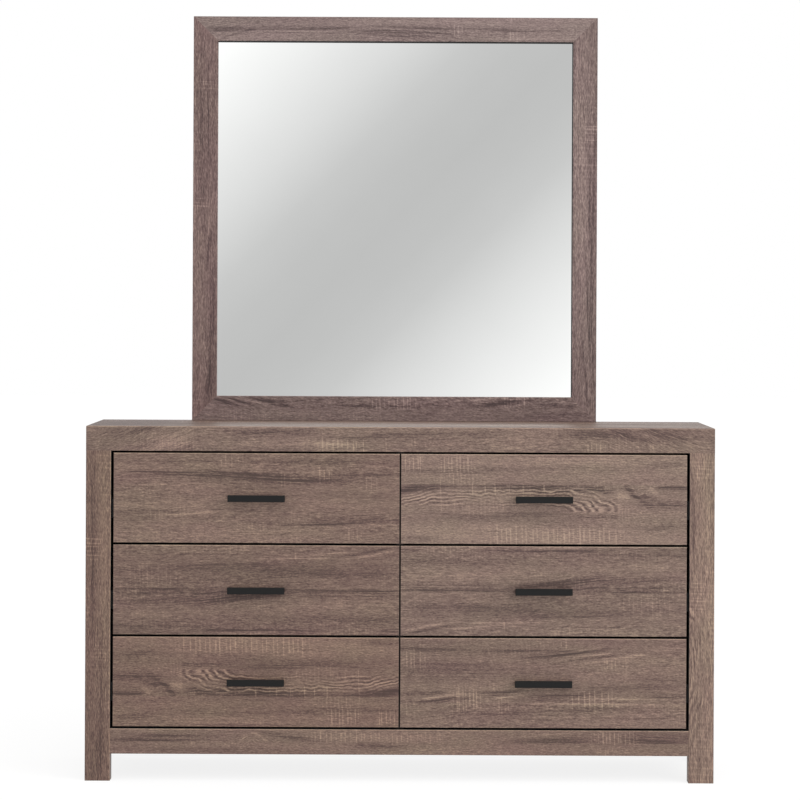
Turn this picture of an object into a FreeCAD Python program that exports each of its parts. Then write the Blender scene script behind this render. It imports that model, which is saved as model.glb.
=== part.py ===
import FreeCAD, Part
import os
import re
import Sketcher

# Six-drawer dresser with a framed mirror that stands on its top.
# +Z is up, +X is to the right of someone facing it, the front faces -Y,
# and the origin is on the floor under the middle of the object's box.
# The left half of the case is built, and the right half is its mirror image.

doc = FreeCAD.newDocument("dresser")

# Driving dimensions in millimetres
DIMENSIONS = {
    # case
    "case_width": 1524.0,
    "case_depth": 400.0,
    "case_height": 860.0,
    "top_thickness": 60.0,
    "skin_thickness": 18.0,
    "underboard_thickness": 5.0,
    "post_width": 61.0,
    "post_depth": 40.0,
    "foot_height": 65.5,
    "rear_leg_width": 61.0,
    "rear_leg_fillet": 12.0,
    "end_thickness": 18.0,
    "end_setback": 1.5,
    "liner_thickness": 15.0,
    "spacer_depth": 40.0,
    "rail_height": 61.5,
    "rail_thickness": 18.0,
    "rail_setback": 1.0,
    "rail_groove": 8.0,
    "bottom_thickness": 15.0,
    "bottom_sill": 5.0,
    "partition_thickness": 18.0,
    "back_thickness": 4.0,
    "back_rebate": 9.0,
    "edge_radius": 1.8,
    # drawers
    "front_thickness": 18.0,
    "front_setback": 1.5,
    "front_radius": 1.0,
    "side_gap": 6.0,
    "center_gap": 3.2,
    "row_gap": 4.8,
    "box_lift": 20.0,
    "box_headroom": 46.0,
    "box_wall": 12.0,
    "floor_thickness": 4.0,
    "floor_lift": 10.0,
    "floor_groove": 6.0,
    # pulls
    "pull_spacing": 128.0,
    "pull_bar": 10.0,
    "pull_height": 16.0,
    "pull_post_height": 9.0,
    "pull_projection": 28.0,
    "pull_radius": 1.2,
    # telescopic rails
    "rail_space": 12.7,
    "rail_front_room": 2.0,
    "rail_rear_room": 24.5,
    "rail_rise": 62.0,
    "channel_height": 45.0,
    "channel_depth": 11.0,
    "channel_wall": 1.2,
    "channel_lip": 2.3,
    "running_gap": 0.3,
    "hat_height": 30.0,
    "slot_inset": 32.0,
    "slot_length": 24.0,
    "slot_height": 5.5,
    "window_length": 64.0,
    "window_height": 13.0,
    # mirror, which stands a little to the left of the middle
    "mirror_offset": -17.0,
    "mirror_width": 1030.0,
    "mirror_height": 1030.0,
    "frame_width": 62.5,
    "frame_thickness": 30.0,
    "frame_radius": 1.2,
    "glass_reveal": 10.0,
    "glass_rabbet": 9.0,
    "glass_play": 1.0,
    "glass_thickness": 4.0,
    "backing_thickness": 3.0,
    # mirror supports and their screws
    "support_width": 50.0,
    "support_thickness": 18.0,
    "support_drop": 110.0,
    "support_rise": 620.0,
    "support_chamfer": 12.0,
    "edge_screw_inset": 18.0,
    "stile_screw_start": 100.0,
    "stile_screw_pitch": 440.0,
    "screw_length": 31.0,
    "screw_diameter": 4.5,
    "screw_tip": 5.0,
    "screw_head_diameter": 9.0,
    "screw_head_height": 2.6,
    "screw_room": 0.3,
}

DRAWER_ROWS = ("bottom", "middle", "top")
STILE_SCREWS = 2

sheet = doc.addObject("Spreadsheet::Sheet", "dims")
for cell, (alias, size) in enumerate(DIMENSIONS.items(), start=1):
    sheet.set(f"A{cell}", alias)
    sheet.set(f"B{cell}", str(size))
    sheet.setAlias(f"B{cell}", alias)
doc.recompute()

# Sizes and places that follow from the driving dimensions
REACH = "(case_depth + support_thickness + screw_head_height)"
CASE_FRONT = f"((pull_projection - front_setback - {REACH}) / 2)"
CASE_BACK = f"({CASE_FRONT} + case_depth)"
BACK_INSIDE = f"({CASE_BACK} - back_thickness)"
CASE_LEFT = "(-case_width / 2)"
POST_FACE = f"({CASE_LEFT} + post_width)"
POST_REAR = f"({CASE_FRONT} + post_depth)"
END_FACE = f"({CASE_LEFT} + end_setback + end_thickness)"
LINER_FACE = f"({POST_FACE} - liner_thickness)"
TOP_UNDERSIDE = "(case_height - top_thickness)"
RAIL_TOP = "(foot_height + rail_height)"
BOTTOM_TOP = f"({RAIL_TOP} - bottom_sill)"
BOTTOM_UNDERSIDE = f"({BOTTOM_TOP} - bottom_thickness)"
CARCASE_HEIGHT = f"({TOP_UNDERSIDE} - {BOTTOM_TOP})"
RAIL_REAR = f"({CASE_FRONT} + rail_setback + rail_thickness)"

ROWS = len(DRAWER_ROWS)
FRONT_HEIGHT = f"(({TOP_UNDERSIDE} - {RAIL_TOP} - {ROWS + 1} * row_gap) / {ROWS})"
FRONT_WIDTH = "(case_width / 2 - post_width - side_gap - center_gap / 2)"
FRONT_FACE = f"({CASE_FRONT} + front_setback)"
FRONT_REAR = f"({FRONT_FACE} + front_thickness)"
BAY_WIDTH = f"(-{POST_FACE} - partition_thickness / 2)"
BAY_CENTER = f"({POST_FACE} + {BAY_WIDTH} / 2)"
SLIDE_FRONT = f"({FRONT_REAR} + rail_front_room)"
SLIDE_LENGTH = f"({BACK_INSIDE} - rail_rear_room - {SLIDE_FRONT})"
BOX_LEFT = f"({POST_FACE} + rail_space)"
BOX_WIDTH = f"({BAY_WIDTH} - 2 * rail_space)"
BOX_INSIDE = f"({BOX_WIDTH} - 2 * box_wall)"
BOX_LENGTH = f"({SLIDE_LENGTH} + rail_front_room)"
BOX_HEIGHT = f"({FRONT_HEIGHT} - box_lift - box_headroom)"
FLOOR_WIDTH = f"({BOX_INSIDE} + 2 * floor_groove)"
PULL_LENGTH = "(pull_spacing + pull_bar)"

MIRROR_LEFT = "(mirror_offset - mirror_width / 2)"
MIRROR_FRONT = f"({CASE_BACK} - frame_thickness)"
GLASS_INSET = "(frame_width - glass_rabbet + glass_play)"
GLASS_FRONT = f"({MIRROR_FRONT} + glass_reveal)"
SUPPORT_CENTER = f"({MIRROR_LEFT} + frame_width / 2)"
OTHER_SUPPORT_CENTER = f"(2 * mirror_offset - {SUPPORT_CENTER})"
MIRROR_MIDDLE = ("mirror_offset", "0", "case_height + mirror_height / 2")
PILOT_DEPTH = "(screw_length - support_thickness + screw_room)"
PILOT_RADIUS = "(screw_diameter / 2 + screw_room)"
EDGE_SCREW_RISES = ("edge_screw_inset", "(top_thickness - edge_screw_inset)")
STILE_SCREW_RISES = tuple(
    f"(stile_screw_start + {index} * stile_screw_pitch)" for index in range(STILE_SCREWS)
)

TOUCH = 1e-4
nodes = []


def bound(text):
    """Point each dimension's name in a formula at its cell."""
    return re.sub(r"[a-z_]+", lambda m: f"dims.{m[0]}" if m[0] in DIMENSIONS else m[0], text)


def place(obj, x, y, z):
    for axis, formula in zip("xyz", (x, y, z)):
        obj.setExpression(f"Placement.Base.{axis}", bound(formula))
    return obj


def as_node(obj, label):
    """Count a finished sub-part as one of the object's pieces."""
    obj.Label = label
    nodes.append(obj)
    return obj


def board(name, corner, size):
    """A plain rectangular board from its lowest corner."""
    box = doc.addObject("Part::Box", name)
    for side, formula in zip(("Length", "Width", "Height"), size):
        box.setExpression(side, bound(formula))
    return place(box, *corner)


def mirrored(name, source, base=("0", "0", "0"), normal=(1, 0, 0)):
    """The mirror image of a piece in the plane through base."""
    image = doc.addObject("Part::Mirroring", name)
    image.Source = source
    image.Normal = FreeCAD.Vector(*normal)
    for axis, formula in zip("xyz", base):
        image.setExpression(f"Base.{axis}", bound(formula))
    return image


def group(name, pieces):
    compound = doc.addObject("Part::Compound", name)
    compound.Links = pieces
    return compound


def new_body(name):
    return doc.addObject("PartDesign::Body", name)


def new_sketch(body, role, lift="0"):
    """A sketch on one of the body's origin planes, lifted along the plane's normal."""
    sketch = body.newObject("Sketcher::SketchObject", f"{body.Name}_sketch")
    plane = next(f for f in body.Origin.OriginFeatures if f.Role == role)
    sketch.AttachmentSupport = [(plane, "")]
    sketch.MapMode = "FlatFace"
    sketch.setExpression("AttachmentOffset.Base.z", bound(lift))
    return sketch


def fix_point(sketch, geometry, end, x, y):
    """Hold a sketch point at (x, y) from the sketch's origin."""
    axes = (("DistanceX", -2, x, "across"), ("DistanceY", -1, y, "up"))
    for kind, axis_line, formula, word in axes:
        if formula == "0":
            sketch.addConstraint(Sketcher.Constraint("PointOnObject", geometry, end, axis_line))
            continue
        index = sketch.addConstraint(Sketcher.Constraint(kind, -1, 1, geometry, end, 1.0))
        name = f"{word}_{index}"
        sketch.renameConstraint(index, name)
        sketch.setExpression(f"Constraints.{name}", bound(formula))


def polygon(sketch, points):
    """A closed outline through points given as formulas."""
    count = len(points)
    start = FreeCAD.Vector(1, 0, 0)
    turn = FreeCAD.Rotation(FreeCAD.Vector(0, 0, 1), 360.0 / count)
    corners = [start]
    for _ in range(count - 1):
        corners.append(turn.multVec(corners[-1]))
    first = sketch.GeometryCount
    for index in range(count):
        ends = corners[index], corners[(index + 1) % count]
        sketch.addGeometry(Part.LineSegment(*ends))
    for index in range(count):
        following = first + (index + 1) % count
        sketch.addConstraint(Sketcher.Constraint("Coincident", first + index, 2, following, 1))
    for index, (x, y) in enumerate(points):
        fix_point(sketch, first + index, 1, x, y)


def rectangle(sketch, left, low, right, high):
    polygon(sketch, [(left, low), (right, low), (right, high), (left, high)])


def circle(sketch, x, y, radius):
    unit = Part.Circle(FreeCAD.Vector(1, 1, 0), FreeCAD.Vector(0, 0, 1), 1)
    geometry = sketch.addGeometry(unit)
    fix_point(sketch, geometry, 3, x, y)
    index = sketch.addConstraint(Sketcher.Constraint("Radius", geometry, 1.0))
    name = f"radius_{index}"
    sketch.renameConstraint(index, name)
    sketch.setExpression(f"Constraints.{name}", bound(radius))


def pad(body, sketch, length, reverse=False):
    feature = body.newObject("PartDesign::Pad", f"{body.Name}_pad")
    feature.Profile = sketch
    feature.Reversed = reverse
    feature.setExpression("Length", bound(length))
    doc.recompute()
    return feature


def pocket(body, sketch, depth, reverse=False):
    before = body.Shape.Volume
    feature = body.newObject("PartDesign::Pocket", f"{body.Name}_pocket")
    feature.Profile = sketch
    feature.Reversed = reverse
    feature.setExpression("Length", bound(depth))
    doc.recompute()
    if body.Shape.Volume >= before - TOUCH:
        raise RuntimeError(f"{body.Name}: a pocket removes nothing")
    return feature


def dress(body, kind, size_name, size, wanted):
    """Round or bevel the edges whose two ends both pass the test."""
    base = body.Tip
    names = []
    for number, edge in enumerate(base.Shape.Edges, start=1):
        if all(wanted(vertex.Point) for vertex in edge.Vertexes):
            names.append(f"Edge{number}")
    if not names:
        raise RuntimeError(f"{body.Name}: no edge to dress")
    feature = body.newObject(kind, f"{body.Name}_edges")
    feature.Base = (base, names)
    feature.setExpression(size_name, bound(size))
    doc.recompute()
    return feature


def round_edges(body, radius, wanted):
    return dress(body, "PartDesign::Fillet", "Radius", radius, wanted)


def bevel_edges(body, size, wanted):
    return dress(body, "PartDesign::Chamfer", "Size", size, wanted)


def near(value, target):
    return abs(value - target) < TOUCH


def add_top():
    """Top folded from one board: a skin on every side but the underside."""
    body = new_body("top_panel")
    outline = new_sketch(body, "XY_Plane")
    rectangle(outline, "0", "0", "case_width", "case_depth")
    slab = pad(body, outline, "top_thickness")
    high = slab.Shape.BoundBox.ZMax
    round_edges(body, "edge_radius", lambda p: near(p.z, high))
    hollow = new_sketch(body, "XY_Plane")
    rectangle(
        hollow,
        "skin_thickness",
        "skin_thickness",
        "case_width - skin_thickness",
        "case_depth - skin_thickness",
    )
    pocket(body, hollow, "top_thickness - skin_thickness", reverse=True)
    pilots = new_sketch(body, "XZ_Plane", f"-(case_depth - {PILOT_DEPTH})")
    for rise in EDGE_SCREW_RISES:
        for center in (SUPPORT_CENTER, OTHER_SUPPORT_CENTER):
            circle(pilots, f"case_width / 2 + {center}", rise, PILOT_RADIUS)
    pocket(body, pilots, PILOT_DEPTH)
    as_node(place(body, CASE_LEFT, CASE_FRONT, TOP_UNDERSIDE), "top_panel")

    size = ("case_width - 2 * skin_thickness", "case_depth - 2 * skin_thickness")
    corner = (f"{CASE_LEFT} + skin_thickness", f"{CASE_FRONT} + skin_thickness", TOP_UNDERSIDE)
    under = board("top_underboard", corner, (*size, "underboard_thickness"))
    as_node(under, "top_underboard")


def add_posts():
    """Front posts, which run down to the floor as the front legs."""
    body = new_body("left_front_post")
    outline = new_sketch(body, "XY_Plane")
    rectangle(outline, "0", "0", "post_width", "post_depth")
    pad(body, outline, TOP_UNDERSIDE)
    box = body.Shape.BoundBox
    round_edges(body, "edge_radius", lambda p: near(p.y, 0) and near(p.x, 0))
    round_edges(body, "edge_radius", lambda p: near(p.y, 0) and near(p.x, box.XMax))
    as_node(place(body, CASE_LEFT, CASE_FRONT, "0"), "left_front_post")
    as_node(mirrored("right_front_post", body), "right_front_post")


def add_ends():
    """End boards, each cut away below so that a rear leg is left standing."""
    body = new_body("left_end_panel")
    outline = new_sketch(body, "YZ_Plane")
    depth = "(case_depth - post_depth)"
    leg = f"({depth} - rear_leg_width)"
    polygon(
        outline,
        [
            ("0", "foot_height"),
            (leg, "foot_height"),
            (leg, "0"),
            (depth, "0"),
            (depth, TOP_UNDERSIDE),
            ("0", TOP_UNDERSIDE),
        ],
    )
    pad(body, outline, "end_thickness")
    knee = [
        v.Point
        for v in body.Shape.Vertexes
        if v.Y > TOUCH and TOUCH < v.Z < body.Shape.BoundBox.ZMax - TOUCH
    ][0]
    round_edges(body, "rear_leg_fillet", lambda p: near(p.y, knee.y) and near(p.z, knee.z))
    rebate = new_sketch(body, "XY_Plane", BOTTOM_UNDERSIDE)
    rectangle(
        rebate,
        "end_thickness - back_rebate",
        f"{depth} - back_thickness",
        "end_thickness",
        depth,
    )
    pocket(body, rebate, f"{TOP_UNDERSIDE} - {BOTTOM_UNDERSIDE}", reverse=True)
    as_node(place(body, f"{CASE_LEFT} + end_setback", POST_REAR, "0"), "left_end_panel")
    as_node(mirrored("right_end_panel", body), "right_end_panel")


def add_liners():
    """Inner boards that carry the drawer rails, and the battens behind them."""
    corner = (LINER_FACE, POST_REAR, BOTTOM_TOP)
    depth = f"{BACK_INSIDE} - {POST_REAR}"
    liner = board("left_inner_panel", corner, ("liner_thickness", depth, CARCASE_HEIGHT))
    as_node(liner, "left_inner_panel")
    as_node(mirrored("right_inner_panel", liner), "right_inner_panel")

    battens = []
    size = (f"{LINER_FACE} - {END_FACE}", "spacer_depth", CARCASE_HEIGHT)
    for word, start in (("front", POST_REAR), ("rear", f"{BACK_INSIDE} - spacer_depth")):
        batten = board(f"{word}_spacer", (END_FACE, start, BOTTOM_TOP), size)
        battens += [batten, mirrored(f"{word}_spacer_image", batten)]
    as_node(group("side_spacers", battens), "side_spacers")


def add_bottom():
    """Front rail between the posts, and the bottom board that sits in its groove."""
    body = new_body("bottom_rail")
    outline = new_sketch(body, "YZ_Plane")
    low = "(rail_height - bottom_sill - bottom_thickness)"
    high = "(rail_height - bottom_sill)"
    inner = "(rail_thickness - rail_groove)"
    polygon(
        outline,
        [
            ("0", "0"),
            ("rail_thickness", "0"),
            ("rail_thickness", low),
            (inner, low),
            (inner, high),
            ("rail_thickness", high),
            ("rail_thickness", "rail_height"),
            ("0", "rail_height"),
        ],
    )
    pad(body, outline, f"-2 * {POST_FACE}")
    box = body.Shape.BoundBox
    round_edges(body, "front_radius", lambda p: near(p.y, 0) and near(p.z, 0))
    round_edges(body, "front_radius", lambda p: near(p.y, 0) and near(p.z, box.ZMax))
    place(body, POST_FACE, f"{CASE_FRONT} + rail_setback", "foot_height")
    as_node(body, "bottom_rail")

    floor = new_body("bottom_panel")
    plan = new_sketch(floor, "XY_Plane")
    start = f"({RAIL_REAR} - rail_groove)"
    shoulder = f"({POST_REAR} - {start})"
    notch = f"({POST_FACE} - {END_FACE})"
    width = f"(-2 * {END_FACE})"
    depth = f"({BACK_INSIDE} - {start})"
    polygon(
        plan,
        [
            (notch, "0"),
            (f"{width} - {notch}", "0"),
            (f"{width} - {notch}", shoulder),
            (width, shoulder),
            (width, depth),
            ("0", depth),
            ("0", shoulder),
            (notch, shoulder),
        ],
    )
    pad(floor, plan, "bottom_thickness")
    as_node(place(floor, END_FACE, start, BOTTOM_UNDERSIDE), "bottom_panel")


def add_partition_and_back():
    corner = ("-partition_thickness / 2", SLIDE_FRONT, BOTTOM_TOP)
    size = ("partition_thickness", f"{BACK_INSIDE} - {SLIDE_FRONT}", CARCASE_HEIGHT)
    as_node(board("center_partition", corner, size), "center_partition")

    left = f"({END_FACE} - back_rebate)"
    size = (f"-2 * {left}", "back_thickness", f"{TOP_UNDERSIDE} - {BOTTOM_UNDERSIDE}")
    back = board("back_panel", (left, BACK_INSIDE, BOTTOM_UNDERSIDE), size)
    as_node(back, "back_panel")


def frame_member(name, outline, rabbet, long_edges):
    """A mitred length of frame, with a rabbet for the glass behind its inner edge."""
    body = new_body(name)
    face = new_sketch(body, "XZ_Plane")
    polygon(face, outline)
    pad(body, face, "frame_thickness", reverse=True)
    recess = new_sketch(body, "XZ_Plane", "-glass_reveal")
    rectangle(recess, *rabbet)
    pocket(body, recess, "frame_thickness - glass_reveal")
    for wanted in long_edges(body.Shape.BoundBox):
        round_edges(body, "frame_radius", wanted)
    return body


def add_mirror_frame():
    rail = frame_member(
        "mirror_bottom_rail",
        [
            ("0", "0"),
            ("mirror_width", "0"),
            ("mirror_width - frame_width", "frame_width"),
            ("frame_width", "frame_width"),
        ],
        ("0", "frame_width - glass_rabbet", "mirror_width", "frame_width"),
        lambda box: (
            lambda p: near(p.y, 0) and near(p.z, 0),
            lambda p: near(p.y, 0) and near(p.z, box.ZMax),
        ),
    )
    as_node(place(rail, MIRROR_LEFT, MIRROR_FRONT, "case_height"), "mirror_bottom_rail")
    top = mirrored("mirror_top_rail", rail, MIRROR_MIDDLE, (0, 0, 1))
    as_node(top, "mirror_top_rail")

    stile = frame_member(
        "mirror_left_stile",
        [
            ("0", "0"),
            ("frame_width", "frame_width"),
            ("frame_width", "mirror_height - frame_width"),
            ("0", "mirror_height"),
        ],
        ("frame_width - glass_rabbet", "0", "frame_width", "mirror_height"),
        lambda box: (
            lambda p: near(p.y, 0) and near(p.x, 0),
            lambda p: near(p.y, 0) and near(p.x, box.XMax),
        ),
    )
    pilots = new_sketch(stile, "XZ_Plane", f"-(frame_thickness - {PILOT_DEPTH})")
    for rise in STILE_SCREW_RISES:
        circle(pilots, "frame_width / 2", rise, PILOT_RADIUS)
    pocket(stile, pilots, PILOT_DEPTH)
    as_node(place(stile, MIRROR_LEFT, MIRROR_FRONT, "case_height"), "mirror_left_stile")
    as_node(mirrored("mirror_right_stile", stile, MIRROR_MIDDLE), "mirror_right_stile")


def add_mirror_glass():
    """Silvered glass against the rabbet's shoulder, with a thin board behind it."""
    corner = f"{MIRROR_LEFT} + {GLASS_INSET}"
    low = f"case_height + {GLASS_INSET}"
    width = f"mirror_width - 2 * {GLASS_INSET}"
    height = f"mirror_height - 2 * {GLASS_INSET}"
    glass = board("mirror_glass", (corner, GLASS_FRONT, low), (width, "glass_thickness", height))
    as_node(glass, "mirror_glass")
    rear = f"{GLASS_FRONT} + glass_thickness"
    backing = board("mirror_backing", (corner, rear, low), (width, "backing_thickness", height))
    as_node(backing, "mirror_backing")


def support_screw(name, rise):
    """A pan-head screw, turned about its axis, with its head behind the support."""
    body = new_body(name)
    profile = new_sketch(body, "XY_Plane")
    polygon(
        profile,
        [
            ("0", "0"),
            ("screw_diameter / 2", "screw_tip"),
            ("screw_diameter / 2", "screw_length"),
            ("screw_head_diameter / 2", "screw_length"),
            ("screw_head_diameter / 2", "screw_length + screw_head_height"),
            ("0", "screw_length + screw_head_height"),
        ],
    )
    turned = body.newObject("PartDesign::Revolution", f"{name}_turned")
    turned.Profile = profile
    turned.ReferenceAxis = (profile, ["V_Axis"])
    doc.recompute()
    tip = f"{CASE_BACK} + support_thickness - screw_length"
    return place(body, SUPPORT_CENTER, tip, rise)


def add_mirror_supports():
    """Uprights behind the mirror, screwed to its stiles and to the top's rear edge."""
    body = new_body("left_mirror_support")
    outline = new_sketch(body, "XZ_Plane")
    rectangle(outline, "0", "0", "support_width", "support_drop + support_rise")
    pad(body, outline, "support_thickness", reverse=True)
    high = body.Shape.BoundBox.ZMax
    wide = body.Shape.BoundBox.XMax
    bevel_edges(body, "support_chamfer", lambda p: near(p.z, high) and near(p.x, 0))
    bevel_edges(body, "support_chamfer", lambda p: near(p.z, high) and near(p.x, wide))
    holes = new_sketch(body, "XZ_Plane")
    rises = [f"(support_drop - top_thickness + {rise})" for rise in EDGE_SCREW_RISES]
    rises += [f"(support_drop + {rise})" for rise in STILE_SCREW_RISES]
    for rise in rises:
        circle(holes, "support_width / 2", rise, PILOT_RADIUS)
    pocket(body, holes, "support_thickness")
    left = f"{SUPPORT_CENTER} - support_width / 2"
    foot = "(case_height - support_drop)"
    as_node(place(body, left, CASE_BACK, foot), "left_mirror_support")
    as_node(mirrored("right_mirror_support", body, MIRROR_MIDDLE), "right_mirror_support")

    screws = []
    for number, rise in enumerate(rises, start=1):
        screw = support_screw(f"support_screw_{number}", f"{foot} + {rise}")
        screws += [screw, mirrored(f"support_screw_{number}_image", screw, MIRROR_MIDDLE)]
    as_node(group("support_screws", screws), "support_screws")


def rolled_rail(name, solid_parts, hollow_parts):
    """A rail of steady section: rectangles added, and then taken away."""
    body = new_body(name)
    for part in solid_parts:
        sketch = new_sketch(body, "XZ_Plane")
        rectangle(sketch, *part)
        pad(body, sketch, SLIDE_LENGTH, reverse=True)
    for part in hollow_parts:
        sketch = new_sketch(body, "XZ_Plane")
        rectangle(sketch, *part)
        pocket(body, sketch, SLIDE_LENGTH)
    return body


def punch(body, web_face, rail_height, length, height):
    """Slots through a rail's web: one near each end and one in the middle."""
    starts = (
        "slot_inset",
        f"(({SLIDE_LENGTH} - {length}) / 2)",
        f"({SLIDE_LENGTH} - slot_inset - {length})",
    )
    low = f"(({rail_height} - {height}) / 2)"
    sketch = new_sketch(body, "YZ_Plane", web_face)
    for start in starts:
        rectangle(sketch, start, low, f"{start} + {length}", f"{low} + {height}")
    pocket(body, sketch, "channel_wall")


def lipped_channel(name, inset, middle, slot):
    """A channel open towards the drawer, inset evenly inside the case channel."""
    height = f"(channel_height - 2 * {inset})"
    depth = f"(channel_depth - 2 * {inset})"
    lip = "(channel_wall + channel_lip)"
    whole = ("0", "0", depth, height)
    inside = (
        "channel_wall",
        "channel_wall",
        f"{depth} - channel_wall",
        f"{height} - channel_wall",
    )
    mouth = (f"{depth} - channel_wall", lip, depth, f"{height} - {lip}")
    body = rolled_rail(name, [whole], [inside, mouth])
    punch(body, "channel_wall", height, *slot)
    return place(body, f"{POST_FACE} + {inset}", SLIDE_FRONT, f"{middle} - {height} / 2")


def hat_rail(name, inset, middle, slot):
    """A hat section on the drawer, its brims held behind the channel's lips."""
    brim_height = f"(channel_height - 2 * {inset})"
    rise = f"(({brim_height} - hat_height) / 2)"
    reach = f"(rail_space - {inset})"
    brim = ("0", "0", "channel_wall", brim_height)
    crown = ("channel_wall", rise, reach, f"{rise} + hat_height")
    inside = (
        "0",
        f"{rise} + channel_wall",
        f"{reach} - channel_wall",
        f"{rise} + hat_height - channel_wall",
    )
    body = rolled_rail(name, [brim, crown], [inside])
    punch(body, reach, brim_height, *slot)
    return place(body, f"{POST_FACE} + {inset}", SLIDE_FRONT, f"{middle} - {brim_height} / 2")


def add_drawer_front(row, low):
    body = new_body(f"drawer_front_left_{row}")
    face = new_sketch(body, "XZ_Plane")
    rectangle(face, "0", "0", FRONT_WIDTH, FRONT_HEIGHT)
    pad(body, face, "front_thickness", reverse=True)
    round_edges(body, "front_radius", lambda p: near(p.y, 0))
    left = f"({POST_FACE} + side_gap)"
    groove = new_sketch(body, "XZ_Plane", "-(front_thickness - floor_groove)")
    start = f"({BOX_LEFT} + box_wall - floor_groove - {left})"
    rise = "(box_lift + floor_lift)"
    rectangle(groove, start, rise, f"{start} + {FLOOR_WIDTH}", f"{rise} + floor_thickness")
    pocket(body, groove, "floor_groove")
    return place(body, left, FRONT_FACE, low)


def add_drawer_box(row, low):
    """Two grooved sides and a back, which stands on the drawer's floor."""
    box_low = f"({low} + box_lift)"
    side = new_body(f"drawer_side_left_{row}")
    section = new_sketch(side, "XZ_Plane")
    bed = "(floor_lift + floor_thickness)"
    inner = "(box_wall - floor_groove)"
    polygon(
        section,
        [
            ("0", "0"),
            ("box_wall", "0"),
            ("box_wall", "floor_lift"),
            (inner, "floor_lift"),
            (inner, bed),
            ("box_wall", bed),
            ("box_wall", BOX_HEIGHT),
            ("0", BOX_HEIGHT),
        ],
    )
    pad(side, section, BOX_LENGTH, reverse=True)
    high = side.Shape.BoundBox.ZMax
    wide = side.Shape.BoundBox.XMax
    round_edges(side, "front_radius", lambda p: near(p.z, high) and near(p.x, 0))
    round_edges(side, "front_radius", lambda p: near(p.z, high) and near(p.x, wide))
    place(side, BOX_LEFT, FRONT_REAR, box_low)
    other = mirrored(f"drawer_side_left_{row}_image", side, (BAY_CENTER, "0", "0"))
    corner = (
        f"{BOX_LEFT} + box_wall",
        f"{FRONT_REAR} + {BOX_LENGTH} - box_wall",
        f"{box_low} + {bed}",
    )
    back = board(
        f"drawer_back_left_{row}", corner, (BOX_INSIDE, "box_wall", f"{BOX_HEIGHT} - {bed}")
    )
    return group(f"drawer_box_left_{row}", [side, other, back])


def add_drawer_floor(row, low):
    corner = (
        f"{BOX_LEFT} + box_wall - floor_groove",
        f"{FRONT_REAR} - floor_groove",
        f"{low} + box_lift + floor_lift",
    )
    size = (FLOOR_WIDTH, f"{BOX_LENGTH} + floor_groove", "floor_thickness")
    return board(f"drawer_floor_left_{row}", corner, size)


def add_drawer_handle(row, low):
    """A flat bar pull on two lower posts that meet the drawer front."""
    body = new_body(f"drawer_handle_left_{row}")
    plan = new_sketch(body, "XY_Plane")
    rectangle(plan, "0", "0", PULL_LENGTH, "pull_projection")
    pad(body, plan, "pull_height")
    gap = new_sketch(body, "XY_Plane")
    rectangle(gap, "pull_bar", "pull_bar", f"{PULL_LENGTH} - pull_bar", "pull_projection")
    pocket(body, gap, "pull_height", reverse=True)
    trim = "((pull_height - pull_post_height) / 2)"
    shoulders = new_sketch(body, "XZ_Plane", "-pull_bar")
    rectangle(shoulders, "0", "0", PULL_LENGTH, trim)
    rectangle(shoulders, "0", f"pull_height - {trim}", PULL_LENGTH, "pull_height")
    pocket(body, shoulders, "pull_projection - pull_bar")
    round_edges(body, "pull_radius", lambda p: near(p.y, 0))
    left = f"{POST_FACE} + side_gap + ({FRONT_WIDTH} - {PULL_LENGTH}) / 2"
    rise = f"{low} + ({FRONT_HEIGHT} - pull_height) / 2"
    return place(body, left, f"{FRONT_FACE} - pull_projection", rise)


def rail_pair(name, maker, inset, middle, slot):
    rail = maker(name, inset, middle, slot)
    return [rail, mirrored(f"{name}_image", rail, (BAY_CENTER, "0", "0"))]


def add_drawers():
    """Each drawer with its pull and rails, on the left and mirrored on the right."""
    fixed = []
    sliding_inset = "(channel_wall + running_gap)"
    hat_inset = "(2 * channel_wall + 2 * running_gap)"
    slot = ("slot_length", "slot_height")
    window = ("window_length", "window_height")
    for index, row in enumerate(DRAWER_ROWS):
        low = f"({RAIL_TOP} + row_gap + {index} * ({FRONT_HEIGHT} + row_gap))"
        middle = f"({low} + box_lift + rail_rise)"
        fixed += rail_pair(f"fixed_rail_left_{row}", lipped_channel, "0", middle, slot)
        sliding = rail_pair(
            f"sliding_rail_left_{row}", lipped_channel, sliding_inset, middle, window
        )
        runners = rail_pair(f"drawer_runner_left_{row}", hat_rail, hat_inset, middle, slot)
        pieces = {
            "drawer_front": add_drawer_front(row, low),
            "drawer_box": add_drawer_box(row, low),
            "drawer_floor": add_drawer_floor(row, low),
            "drawer_handle": add_drawer_handle(row, low),
            "drawer_runners": group(f"drawer_runners_left_{row}", runners),
            "sliding_rails": group(f"sliding_rails_left_{row}", sliding),
        }
        for word, piece in pieces.items():
            as_node(piece, f"{word}_left_{row}")
            as_node(mirrored(f"{word}_right_{row}", piece), f"{word}_right_{row}")
    left_rails = group("fixed_rails_left", fixed)
    as_node(left_rails, "fixed_rails_left")
    as_node(mirrored("fixed_rails_right", left_rails), "fixed_rails_right")


def check_document():
    for obj in doc.Objects:
        if "Invalid" in obj.State or "Error" in obj.State:
            raise RuntimeError(f"{obj.Name} did not build: {obj.State}")
    for obj in nodes:
        if obj.Shape.isNull() or not obj.Shape.isValid():
            raise RuntimeError(f"{obj.Label} has no valid shape")


def write_parts():
    os.makedirs("parts", exist_ok=True)
    for obj in nodes:
        obj.Shape.exportStep(f"parts/{obj.Label}.step")
        print(f"{obj.Label}: {len(obj.Shape.Solids)} solids, {obj.Shape.Volume / 1000:.1f} cm3")


add_top()
add_posts()
add_ends()
add_liners()
add_bottom()
add_partition_and_back()
add_mirror_frame()
add_mirror_glass()
add_mirror_supports()
add_drawers()
doc.recompute()
check_document()
write_parts()
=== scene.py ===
import math

import bpy
from mathutils import Matrix, Vector


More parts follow.
